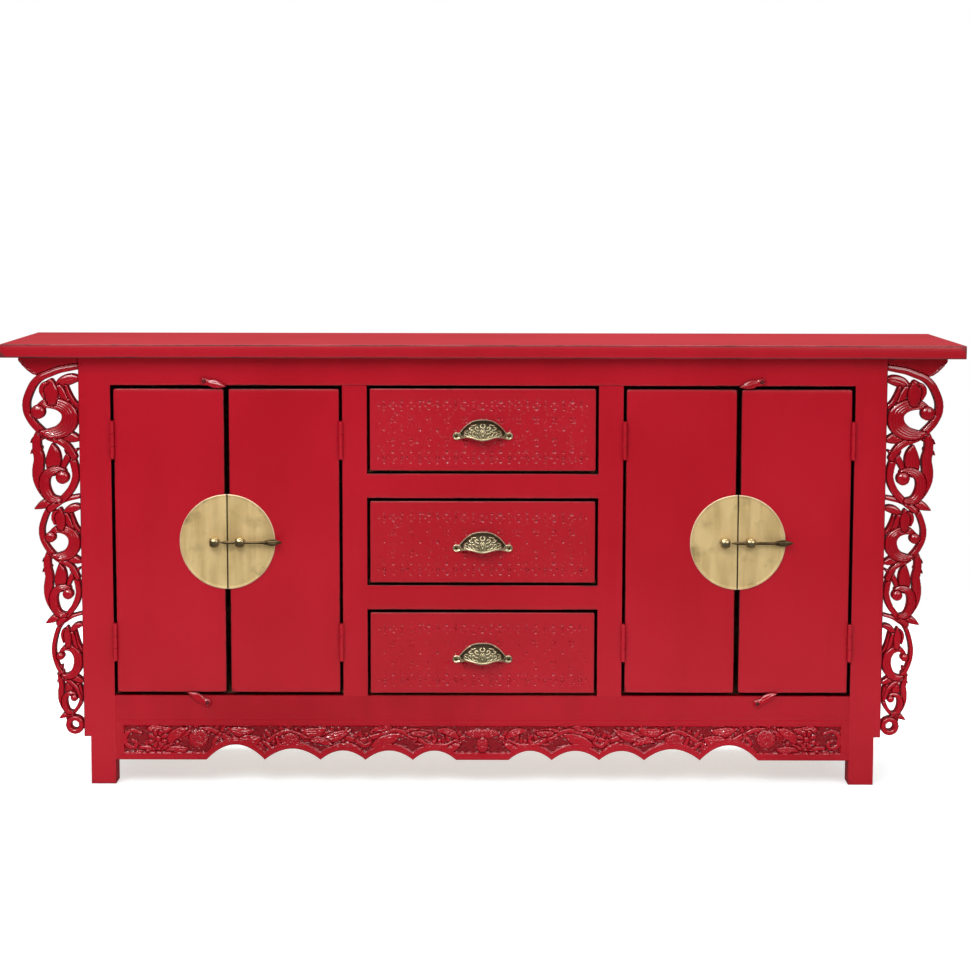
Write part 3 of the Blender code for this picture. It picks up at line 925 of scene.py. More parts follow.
                here, there = case >> i & 1, case >> (i + 1) % 4 & 1
                if here:
                    columns.append(square[i][at])
                if here != there:
                    if here:
                        leaving.append(len(columns))
                    columns.append(sides[i][at])
            faces += np.column_stack(columns).tolist()
            for start in leaving:
                end = (start + 1) % len(columns)
                rim += np.column_stack([columns[start], columns[end]]).tolist()
        return np.vstack(rows), faces, rim

    def solid(
        self,
        front: float,
        thick: float,
        rim: float = 0.0015,
        wall_black_and_shade: float = 0.0,
        deep: float = 0.004,
        shell: np.ndarray | None = None,
    ) -> Shape:
        """Make the drawing solid.

        Args:
            front: the Y of the panel's face, where the rise is 0.
            thick: how far its back lies behind its face.
            rim: the radius of its rounded outline.
            wall_black_and_shade: how dark its sawn walls are.
            deep: how far below the face a hollow is at its darkest; the lacquer paints shade there and the
                brass patina.
            shell: the rise of the inner side, for a piece that is hollow behind.

        Returns:
            The closed shape.
        """
        soft = self.outside if self.soft is None else self.soft
        step_in = np.clip(1 + soft / rim, 0, 1)
        fall = rim * (1 - np.sqrt(np.maximum(1 - step_in**2, 0)))
        rise = self.rise - fall
        rows, faces, edge = self.cells()
        first, second = rows[:, 0].astype(int), rows[:, 1].astype(int)
        share = rows[:, 2]

        def pick(values: np.ndarray) -> np.ndarray:
            """A grid's values at the shape's points."""
            spread = values.ravel()
            return spread[first] * (1 - share) + spread[second] * share

        x, z, height = pick(self.real_x), pick(self.z), pick(rise)
        count = len(x)
        face_y = front - height
        back_y = np.full(count, front + thick) if shell is None else front - pick(shell)
        wall = sorted({i for pair in edge for i in pair})
        below = {point: 2 * count + i for i, point in enumerate(wall)}
        wall_y = face_y[wall] + np.minimum(self.BEVEL, (back_y[wall] - face_y[wall]) / 2)
        layers = (x, face_y, z), (x, back_y, z), (x[wall], wall_y, z[wall])
        points = np.vstack([np.column_stack(layer) for layer in layers])
        all_faces = faces + [[i + count for i in face[::-1]] for face in faces]
        for a, b in edge:
            all_faces.append([b, a, below[a], below[b]])
            all_faces.append([below[b], below[a], a + count, b + count])
        worn = np.clip(-pick(soft), 0, UNWORN)
        # How deep each point lies: the lacquer darkens it as painted shade, the brass as patina.
        hollow = np.clip(-pick(self.rise) / deep, 0, 1) if self.stain is None else pick(self.stain)
        spare = np.zeros(len(wall))
        marks = {
            "edge": np.concatenate([worn, np.full(count, UNWORN), spare]),
            "hollow": np.concatenate([hollow, np.zeros(count), spare]),
            # The back and the sawn walls face the gaps: painted near black, for black paint and painted
            # shade.
            "dark": np.concatenate([np.zeros(count), np.full(count, wall_black_and_shade), spare + wall_black_and_shade]),
        }
        return Shape(points, all_faces, marks)


def soft_box(low: tuple, high: tuple, radius: float = 0.0008) -> Shape:
    """A box between two corners, with slightly rounded edges."""
    return Board("", radius=radius, box=(Vector(low), Vector(high))).shape()


# ---------------------------------------------------------------- the carcass


@dataclass
class Carcass:
    """The boards that don't move: top, legs, rails, sides and the boards inside."""

    finishes: Finishes
    gap: float = 0.0003
    top_radius: float = 0.0016
    top_band: float = 0.012

    def make(self) -> None:
        """Build every fixed board except the carved ones."""
        red, wood = self.finishes.red, self.finishes.wood
        Board("top_board", radius=self.top_radius, band=self.top_band).make(
            "top_board_lacquered", self.finishes.top
        )
        for side, sign in (("left", -1), ("right", 1)):
            self.flank(side, sign)
            Board(f"{side}_partition").make(f"{side}_partition_board", wood, Slot.WOOD)
        level = (Vector((-self.gap, 0, 0)), Vector((self.gap, 0, 0)))
        raised = (level[0], Vector((self.gap, 0, self.gap)))
        ends = (Side.LEFT, Side.RIGHT)
        # Rail sides that face the gaps are painted near black: black paint and painted shade.
        Board("top_rail", jointed=(*ends, Side.TOP), dark=(Side.FOOT,), stretch=raised).make(
            "top_rail_lacquered", red
        )
        for name in ("upper", "middle"):
            Board(f"{name}_drawer_rail", jointed=ends, dark=(Side.FOOT, Side.TOP), stretch=level).make(
                f"{name}_drawer_rail_lacquered", red
            )
            Board(f"{name}_drawer_deck").make(
                f"{name}_drawer_deck_board", self.finishes.drawer_wood, Slot.WOOD
            )
        Board("back_panel").make("back_panel_board", wood, Slot.WOOD)
        floor = frame["nodes"]["bottom_board"]
        floor.data.materials.clear()
        floor.data.materials.append(wood)

    def flank(self, side: str, sign: int) -> None:
        """Build one side's legs, panel and stile.

        Args:
            side: left or right.
            sign: -1 for the left and 1 for the right.
        """
        red = self.finishes.red
        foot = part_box("carved_apron")[0].z
        opening = (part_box("bottom_board")[1].z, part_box("top_rail")[0].z)
        outer, inner = (Side.LEFT, Side.RIGHT) if sign < 0 else (Side.RIGHT, Side.LEFT)
        up = Vector((0, 0, self.gap))
        for end in ("front", "back"):
            # Leg and stile sides that face the openings are painted near black: black paint and painted
            # shade.
            Board(
                f"{end}_{side}_leg", jointed=(outer, inner, Side.TOP), dark=(inner,), stretch=(Vector(), up),
                dark_from=opening[0], dark_to=opening[1], free_below=foot, cuts=(foot, *opening),
            ).make(f"{end}_{side}_leg_lacquered", red)
        shift = Vector((-sign * self.gap, 0, 0))
        low, high = (Vector(), shift) if sign < 0 else (shift, Vector())
        Board(f"{side}_side_panel", jointed=(inner, Side.TOP), stretch=(low, high + up)).make(
            f"{side}_side_panel_lacquered", red
        )
        Board(
            f"{side}_inner_stile", jointed=(Side.LEFT, Side.RIGHT, Side.FOOT, Side.TOP),
            dark=(Side.LEFT, Side.RIGHT), stretch=(-up, up),
        ).make(f"{side}_inner_stile_lacquered", red)


# ---------------------------------------------------------------- the side brackets


@dataclass(frozen=True)
class Lobe:
    """One scroll of a side bracket, in which places are shares of its width and height."""

    top: float
    foot: float
    width: float
    start: float

    def at(self, across: float, down: float) -> Point:
        """The place in X and Z."""
        return self.start + across * self.width, self.top - down * (self.top - self.foot)

    def line(self, points: list[Point], wide: float | list[float]) -> Stroke:
        """Places along a stroke.

        Args:
            points: shares across and down.
            wide: the half width as a share of the lobe's width, for the stroke or for each point.

        Returns:
            X, Z and half width for each point.
        """
        widths = wide if isinstance(wide, list) else [wide] * len(points)
        return [(*self.at(*point), share * self.width) for point, share in zip(points, widths)]


@dataclass
class Bracket:
    """An openwork bracket of vine scrolls that weave down from the top board beside the body."""

    finishes: Finishes
    step: float = 0.00105
    sink: float = 0.0052
    vine_rise: float = 0.0050
    scroll_rise: float = 0.0058
    ball_rise: float = 0.0068
    leaf_rise: float = 0.0046
    flute: float = 0.0013
    lobes: tuple = (
        (0.782, 0.674, 0.1065),
        (0.645, 0.547, 0.0895),
        (0.5385, 0.440, 0.080),
        (0.419, 0.327, 0.072),
        (0.314, 0.210, 0.060),
        (0.204, 0.138, 0.0495),
    )
    hoop_in: float = 0.018
    hoop_height: float = 0.113
    hoop_radius: float = 0.0178
    hole: Point = (0.0032, 0.0055)
    spandrel_drop: float = 0.0008

    def vine(self, cut: Carving, lobe: Lobe, points: list[Point], wide: float | list[float]) -> None:
        """Carve a rounded band with a ridge line near each edge."""
        cut.stroke(lobe.line(points, wide), self.vine_rise, -self.sink, (-0.42, 0.42), flat=2.6)

    def leaf(self, cut: Carving, lobe: Lobe, points: list[Point], wide: list[float]) -> None:
        """Carve a pointed leaf with a vein along its middle."""
        cut.stroke(lobe.line(points, wide), self.leaf_rise, -self.sink, (0.0,))

    def scroll(
        self, cut: Carving, lobe: Lobe, points: list[Point], wide: list[float], flutes: tuple[float, ...]
    ) -> None:
        """Carve a broad fluted curl."""
        line = lobe.line(points, wide)
        cut.stroke(line, self.scroll_rise, -self.sink, flutes, flat=2.4, vein=self.flute)

    def ball(self, cut: Carving, lobe: Lobe, across: float, down: float, radius: float) -> None:
        """Carve the ball that a scroll ends in."""
        cut.knob(*lobe.at(across, down), radius * lobe.width, self.ball_rise, -self.sink + 0.001)

    def odd(self, cut: Carving, lobe: Lobe) -> None:
        """Carve a lobe whose vine runs down the outside and whose scroll curls outwards.

        Args:
            cut: the carving.
            lobe: the lobe.
        """
        for points, widths in (
            ([(0.42, 1.05), (0.27, 1.06), (0.12, 1.10), (-0.02, 1.13)], [0.06, 0.11, 0.09, 0.03]),
            ([(0.40, 0.24), (0.27, 0.13), (0.13, 0.08), (0.0, 0.07)], [0.05, 0.10, 0.095, 0.05]),
            ([(0.46, 0.50), (0.33, 0.45), (0.20, 0.47), (0.03, 0.58)], [0.05, 0.09, 0.10, 0.05]),
            ([(0.34, 0.22), (0.27, 0.36), (0.20, 0.48), (0.08, 0.64)], [0.055, 0.075, 0.075, 0.06]),
            ([(0.22, 0.20), (0.17, 0.34), (0.10, 0.47), (0.0, 0.56)], [0.03, 0.04, 0.045, 0.04]),
        ):
            self.leaf(cut, lobe, points, widths)
        vine = [(0.0, -0.14), (0.15, -0.115), (0.335, -0.08), (0.506, -0.017), (0.665, 0.05)]
        vine += [(0.787, 0.16), (0.87, 0.31), (0.927, 0.483), (0.915, 0.655), (0.835, 0.816)]
        vine += [(0.713, 0.954), (0.555, 1.08), (0.36, 1.16), (0.213, 1.264), (0.10, 1.437)]
        self.vine(cut, lobe, vine, [0.055, 0.06, 0.064, 0.066, 0.068] + [0.070] * 7 + [0.066, 0.064, 0.06])
        scroll = [(0.68, 1.00), (0.54, 1.03), (0.36, 1.00), (0.215, 0.90), (0.16, 0.76), (0.20, 0.63)]
        scroll += [(0.32, 0.54), (0.46, 0.505), (0.59, 0.51), (0.69, 0.57)]
        widths = [0.03, 0.085, 0.12, 0.145, 0.15, 0.135, 0.115, 0.10, 0.085, 0.07]
        self.scroll(cut, lobe, scroll, widths, (-0.65, -0.3, 0.05, 0.4))
        bud = lobe.line([(0.47, 0.46), (0.49, 0.32), (0.51, 0.22), (0.49, 0.12)], [0.09, 0.135, 0.12, 0.05])
        cut.stroke(bud, self.scroll_rise, -self.sink, (-0.38, 0.0, 0.38))
        sepal = [(0.62, 0.40), (0.66, 0.28), (0.62, 0.18), (0.54, 0.15)]
        self.leaf(cut, lobe, sepal, [0.03, 0.045, 0.045, 0.02])
        self.ball(cut, lobe, 0.725, 0.655, 0.127)

    def even(self, cut: Carving, lobe: Lobe) -> None:
        """Carve a lobe whose vine runs down beside the body and whose scroll curls inwards.

        Args:
            cut: the carving.
            lobe: the lobe.
        """
        self.leaf(cut, lobe, [(0.80, -0.18), (0.93, -0.15), (1.03, -0.09)], [0.06, 0.07, 0.012])
        self.leaf(cut, lobe, [(0.84, 0.02), (0.95, 0.06), (1.03, 0.125)], [0.06, 0.06, 0.012])
        strand = [(0.84, -0.34), (0.90, -0.14), (0.90, 0.05), (0.86, 0.22), (0.885, 0.42), (0.885, 0.60)]
        strand += [(0.84, 0.76), (0.75, 0.92), (0.64, 1.06)]
        self.vine(cut, lobe, strand, [0.05, 0.09, 0.10, 0.11, 0.12, 0.115, 0.10, 0.08, 0.05])
        self.leaf(cut, lobe, [(0.58, 1.05), (0.76, 1.10), (0.96, 1.19)], [0.06, 0.10, 0.02])
        vine = [(0.26, 0.06), (0.16, 0.24), (0.105, 0.42), (0.10, 0.60), (0.20, 0.82), (0.40, 1.02)]
        vine += [(0.64, 1.20)]
        self.vine(cut, lobe, vine, [0.07, 0.078, 0.08, 0.08, 0.078, 0.075, 0.07])
        sepal = [(0.36, 0.40), (0.30, 0.27), (0.22, 0.16), (0.06, 0.05)]
        self.leaf(cut, lobe, sepal, [0.05, 0.07, 0.07, 0.03])
        bud = lobe.line([(0.58, 0.46), (0.56, 0.28), (0.55, 0.12), (0.57, -0.04)], [0.12, 0.165, 0.13, 0.04])
        cut.stroke(bud, self.scroll_rise, -self.sink, (-0.5, -0.15, 0.2, 0.55))
        scroll = [(0.44, 1.02), (0.60, 1.00), (0.70, 0.90), (0.755, 0.74), (0.73, 0.58), (0.62, 0.475)]
        scroll += [(0.48, 0.44), (0.36, 0.47)]
        widths = [0.06, 0.09, 0.105, 0.11, 0.105, 0.095, 0.085, 0.075]
        self.scroll(cut, lobe, scroll, widths, (-0.6, -0.2, 0.3))
        self.ball(cut, lobe, 0.375, 0.585, 0.142)

    def spandrel(self, cut: Carving, lobe: Lobe) -> None:
        """Carve the solid corner that fills the space up to the top board.

        Args:
            cut: the carving.
            lobe: the highest lobe.
        """
        outline = [(1.06, -0.32), (1.06, -0.25), (0.98, -0.15), (0.90, -0.07), (0.80, 0.0), (0.66, 0.04)]
        outline += [(0.5, -0.02), (0.335, -0.10), (0.15, -0.08), (0.0, -0.11), (0.0, -0.32)]
        cut.fill([lobe.at(*point) for point in outline], -self.spandrel_drop)
        ridge = [(1.02, -0.30), (1.0, -0.22), (0.92, -0.13), (0.82, -0.05), (0.72, 0.0)]
        cut.stroke(lobe.line(ridge, 0.016), 0.0012, -0.0012, moat=0.0007)

    def hoop(self, cut: Carving, start: float) -> None:
        """Carve the small ring that hangs at the foot.

        Args:
            cut: the carving.
            start: where the bracket meets the body.
        """
        x, radius = start + self.hoop_in, self.hoop_radius
        ring = []
        for turn in np.linspace(0.4, 2 * math.pi + 0.4, 14):
            across, up = 0.7 * radius * math.cos(turn), 0.72 * radius * math.sin(turn)
            ring.append((x + across, self.hoop_height + up, 0.3 * radius))
        cut.stroke(ring, self.vine_rise, -self.sink, (0.0,))
        cut.drill(x, self.hoop_height, *self.hole)

    def shape(self) -> Shape:
        """Carve the right-hand bracket.

        Returns:
            The closed shape.
        """
        low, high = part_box("right_wing_bracket")
        corners = (low.x - 0.002, low.z - 0.002), (high.x + 0.001, high.z + 0.001)
        cut = Carving(*corners, self.step, -self.sink)
        lobes = [Lobe(*sizes, low.x) for sizes in self.lobes]
        self.spandrel(cut, lobes[0])
        for number in range(len(lobes) - 1, -1, -1):
            carve = self.even if number % 2 else self.odd
            carve(cut, lobes[number])
        self.hoop(cut, low.x)
        cut.outside = np.maximum(cut.outside, np.maximum(low.x - cut.x, cut.z - high.z))
        return cut.solid(low.y, high.y - low.y, deep=self.sink)

    def make(self) -> None:
        """Build both brackets, the left one as the mirror of the right."""
        right = self.shape()
        mirror = Matrix.Scale(-1, 4, (1, 0, 0))
        for side, shape in (("right", right), ("left", right.moved(mirror))):
            node = f"{side}_wing_bracket"
            shape.piece(f"{side}_bracket_carved", self.finishes.carved, "carcass", Slot.CARVED, (node,))


# ---------------------------------------------------------------- the apron


@dataclass
class Apron:
    """The scalloped board under the doors, with a vine carved along it."""

    finishes: Finishes
    step: float = 0.00125
    field_half: float = 0.683
    field_foot: float = 0.060
    field_top: float = 0.1135
    border: float = 0.0125
    ground: float = 0.0030
    rail_line: float = 0.1257
    rail_rows: tuple = (0.1305, 0.140, 0.150, 0.160)
    leaf_reach: float = 0.0145
    bead: float = 0.0009
    line: float = 0.0006
    seam: float = 0.0003
    broad: float = 1.35
    pecks: int = 1500
    peck_sizes: Point = (0.0020, 0.0036)
    dots: float = 0.0011
    dot_pitch: float = 1250.0
    boss: float = 0.0028
    scallops: tuple = ((0.1323, 0.018), (0.2227, 0.018), (0.3084, 0.018), (0.4147, 0.0215), (0.5256, 0.0294))
    start: float = 0.050

    def foot_at(self, x: np.ndarray, low: float) -> np.ndarray:
        """The height of the scalloped edge.

        Args:
            x: distances from the middle.
            low: the height of the points between the arches.

        Returns:
            The edge's height at each distance.
        """
        height = np.full(x.shape, low)
        begin = self.start
        for stop, rise in self.scallops:
            share = (x - begin) / (stop - begin)
            inside = (share > 0) & (share < 1)
            height = np.where(inside, low + 4 * rise * share * (1 - share), height)
            begin = stop
        return height

    def stem(self, cut: Carving, points: Stroke, rise: float = 1.0, moat: float = 0.001) -> None:
        """Carve a stem, a curl or a small leaf, with a groove along its middle."""
        cut.stroke(points, self.ground * rise, -self.ground, (0.0,), moat)

    def leaf(self, cut: Carving, points: Stroke) -> None:
        """Carve a broad leaf with two veins."""
        broad = [(x, z, wide * self.broad) for x, z, wide in points]
        cut.stroke(broad, self.ground + 0.0006, -self.ground, (-0.4, 0.1), 0.0013, vein=0.0013)

    def stipple(self, cut: Carving, x: float, z: float, wide: float, high: float) -> None:
        """Carve an oval boss with a dotted face.

        Args:
            cut: the carving.
            x: its middle.
            z: its middle.
            wide: its half width.
            high: its half height.
        """
        share = np.hypot((cut.x - x) / wide, (cut.z - z) / high)
        dots = self.dots * np.sin(cut.x * self.dot_pitch) * np.sin(cut.z * self.dot_pitch)
        boss = -self.ground + self.boss * np.sqrt(np.maximum(1 - share**4, 0)) + dots
        ring = np.clip((share - 1) * min(wide, high) / 0.0014, 0, 1)
        moat = np.minimum(cut.rise, -self.ground - 0.001 + ring * 0.002)
        cut.rise = np.where(share < 1, boss, np.where(ring < 1, moat, cut.rise))

    def shape(self) -> Shape:
        """Carve the board.

        Returns:
            The closed shape.
        """
        low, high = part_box("carved_apron")
        corners = (low.x - 0.0025, low.z - 0.0025), (high.x + 0.0025, self.rail_line + 0.002)
        cut = Carving(*corners, self.step, fold=True)
        cut.extend_up([*self.rail_rows, high.z - 0.0008, high.z + 0.0008, high.z + 0.0015])
        edge = self.foot_at(cut.x, low.z)
        floor = np.maximum(edge + self.border, self.field_foot)
        inside = np.minimum(np.minimum(cut.z - floor, self.field_top - cut.z), self.field_half - cut.x)
        bead = ridge(inside + 0.0035, 0.0010) * self.bead
        plain = np.where(inside > 0, -self.ground * np.clip(inside / 0.0015, 0, 1), -bead)
        plain -= ridge(cut.z - self.rail_line, 0.0011) * self.line
        cut.rise = plain.copy()
        self.carve(cut)
        cut.rise = np.where(inside > 0.0005, cut.rise, plain)
        cut.soft = edge - cut.z
        sides = np.maximum(cut.soft, cut.x - high.x - self.seam)
        cut.outside = np.maximum(sides, cut.z - high.z - self.seam)
        return cut.solid(low.y, high.y - low.y, rim=0.001, deep=self.ground * 1.25)

    def carve(self, cut: Carving) -> None:
        """Carve the vine, its leaves, the flower and the motif in the middle.

        Args:
            cut: the carving.
        """
        vine = [(0.030, 0.094, 0.004), (0.075, 0.074, 0.0045), (0.120, 0.086, 0.005), (0.165, 0.104, 0.0045)]
        vine += [(0.205, 0.092, 0.005), (0.240, 0.084, 0.005), (0.285, 0.098, 0.005), (0.335, 0.092, 0.005)]
        vine += [(0.375, 0.101, 0.0045), (0.415, 0.080, 0.005), (0.450, 0.070, 0.005), (0.495, 0.094, 0.005)]
        vine += [(0.530, 0.107, 0.0045), (0.575, 0.092, 0.0045), (0.605, 0.070, 0.004), (0.650, 0.070, 0.004)]
        self.foliage(cut, vine)
        self.stem(cut, vine)
        for curl in (
            [(0.650, 0.098, 0.003), (0.668, 0.103, 0.004), (0.680, 0.092, 0.0045), (0.677, 0.075, 0.0045),
             (0.664, 0.070, 0.004), (0.659, 0.079, 0.0035), (0.667, 0.084, 0.003)],
            [(0.415, 0.080, 0.004), (0.400, 0.068, 0.004), (0.388, 0.076, 0.004), (0.392, 0.090, 0.003)],
            [(0.240, 0.084, 0.004), (0.226, 0.074, 0.004), (0.214, 0.080, 0.0035), (0.218, 0.090, 0.003)],
            [(0.120, 0.086, 0.004), (0.103, 0.076, 0.004), (0.090, 0.084, 0.0035), (0.094, 0.094, 0.003)],
            [(0.500, 0.096, 0.004), (0.512, 0.080, 0.004), (0.502, 0.071, 0.0035), (0.490, 0.077, 0.003)],
        ):
            self.stem(cut, curl)
        for leaf in (
            [(0.600, 0.080, 0.002), (0.590, 0.091, 0.007), (0.576, 0.101, 0.006), (0.561, 0.109, 0.001)],
            [(0.640, 0.104, 0.001), (0.628, 0.107, 0.005), (0.606, 0.104, 0.005), (0.592, 0.107, 0.001)],
            [(0.486, 0.108, 0.001), (0.470, 0.103, 0.006), (0.455, 0.100, 0.007), (0.436, 0.104, 0.001)],
            [(0.462, 0.086, 0.002), (0.450, 0.084, 0.008), (0.436, 0.083, 0.008), (0.424, 0.090, 0.001)],
            [(0.345, 0.104, 0.001), (0.330, 0.100, 0.006), (0.312, 0.101, 0.006), (0.298, 0.108, 0.001)],
            [(0.302, 0.090, 0.002), (0.286, 0.090, 0.007), (0.268, 0.096, 0.006), (0.250, 0.106, 0.001)],
            [(0.330, 0.082, 0.001), (0.316, 0.085, 0.005), (0.300, 0.082, 0.005), (0.286, 0.076, 0.001)],
            [(0.268, 0.078, 0.001), (0.255, 0.074, 0.005), (0.244, 0.070, 0.005), (0.230, 0.066, 0.001)],
            [(0.212, 0.104, 0.001), (0.198, 0.106, 0.004), (0.184, 0.108, 0.004), (0.172, 0.111, 0.001)],
            [(0.146, 0.104, 0.001), (0.130, 0.101, 0.006), (0.114, 0.099, 0.006), (0.096, 0.104, 0.001)],
            [(0.086, 0.104, 0.001), (0.070, 0.102, 0.005), (0.056, 0.097, 0.005), (0.044, 0.088, 0.001)],
            [(0.072, 0.062, 0.001), (0.060, 0.068, 0.005), (0.050, 0.074, 0.005), (0.040, 0.082, 0.001)],
            [(0.560, 0.068, 0.001), (0.574, 0.066, 0.005), (0.590, 0.068, 0.004), (0.604, 0.064, 0.001)],
        ):
            self.leaf(cut, leaf)
        frond = [(0.209, 0.074, 0.004), (0.192, 0.083, 0.009), (0.174, 0.088, 0.010), (0.156, 0.096, 0.002)]
        cut.stroke(frond, self.ground + 0.0006, -self.ground, (-0.4, 0.0, 0.4), 0.001)
        for boss in (
            (0.541, 0.0880, 0.0186, 0.0186),
            (0.366, 0.086, 0.019, 0.0125),
            (0.120, 0.098, 0.018, 0.006),
            (0.0, 0.098, 0.034, 0.0095),
            (0.0, 0.076, 0.0115, 0.0150),
        ):
            self.stipple(cut, *boss)
        self.rosette(cut, 0.618, 0.087, 0.0186)
        hand = np.random.default_rng(5)
        low = (0.0, self.field_foot, self.peck_sizes[0])
        high = (self.field_half, self.field_top, self.peck_sizes[1])
        for x, z, size in hand.uniform(low, high, (self.pecks, 3)):
            cut.chip(x, z, size, size, size * 0.35)

    def foliage(self, cut: Carving, vine: Stroke) -> None:
        """Carve small leaves that spring from both sides of the vine and fill the ground.

        Args:
            cut: the carving.
            vine: the points that the vine passes through.
        """
        line = smooth_line(vine, 0.001)
        for number, start in enumerate(range(2, len(line) - 6, 6)):
            x, z = line[start, :2]
            along = math.atan2(line[start + 4, 1] - z, line[start + 4, 0] - x)
            turn = along + math.radians(58 if number % 2 else -58)
            reach = self.leaf_reach * (0.85 + 0.3 * (number % 3))
            points = []
            for share, wide in ((0.15, 0.0020), (0.5, 0.0040), (0.8, 0.0030), (1.0, 0.0007)):
                bend = turn + share * 0.5
                points.append((x + share * reach * math.cos(bend), z + share * reach * math.sin(bend), wide))
            self.stem(cut, points, 0.75, 0.0008)

    def rosette(self, cut: Carving, x: float, z: float, radius: float) -> None:
        """Carve a flower with eight petals round a boss.

        Args:
            cut: the carving.
            x: its middle.
            z: its middle.
            radius: its radius.
        """
        for petal in range(8):
            turn = math.radians(45 * petal + 22.5)
            points = []
            for out, wide in ((0.42 * radius, 0.16 * radius), (0.82 * radius, 0.25 * radius)):
                points.append((x + out * math.cos(turn), z + out * math.sin(turn), wide))
            self.stem(cut, points, moat=0.0008)
        cut.knob(x, z, 0.32 * radius, self.ground + 0.0008, -self.ground)

    def make(self) -> None:
        """Build the apron."""
        finish = self.finishes.apron
        self.shape().piece("carved_apron_board", finish, "carcass", Slot.CARVED, ("carved_apron",))


# ---------------------------------------------------------------- drawers and their pulls


def facing_front(place: tuple, turn: float = 0.0) -> Matrix:
    """A matrix that takes the Z axis to -Y at that place, turned about it by degrees."""
    upright = Matrix.Translation(place) @ Matrix.Rotation(math.radians(90), 4, "X")
    return upright @ Matrix.Rotation(math.radians(turn), 4, "Z")


def slotted_screw(place: tuple, radius: float, turn: float) -> Shape:
    """A domed screw head with a slot, seen from the front.

    Args:
        place: the middle of its seat.
        radius: the head's radius.
        turn: the slot's angle in degrees.

    Returns:
        The closed shape.
    """
    half = radius * 1.3
    cut = Carving((-half, -half), (half, half), radius / 9)
    cut.knob(0.0, 0.0, radius, radius * 0.42, 0.0004)
    off = cut.x * math.sin(math.radians(turn)) - cut.z * math.cos(math.radians(turn))
    cut.rise = np.where(np.abs(off) < radius * 0.13, np.minimum(cut.rise, radius * 0.08), cut.rise)
    shape = cut.solid(0.0, radius * 0.5, rim=radius * 0.1, deep=radius)
    return shape.moved(Matrix.Translation(place))


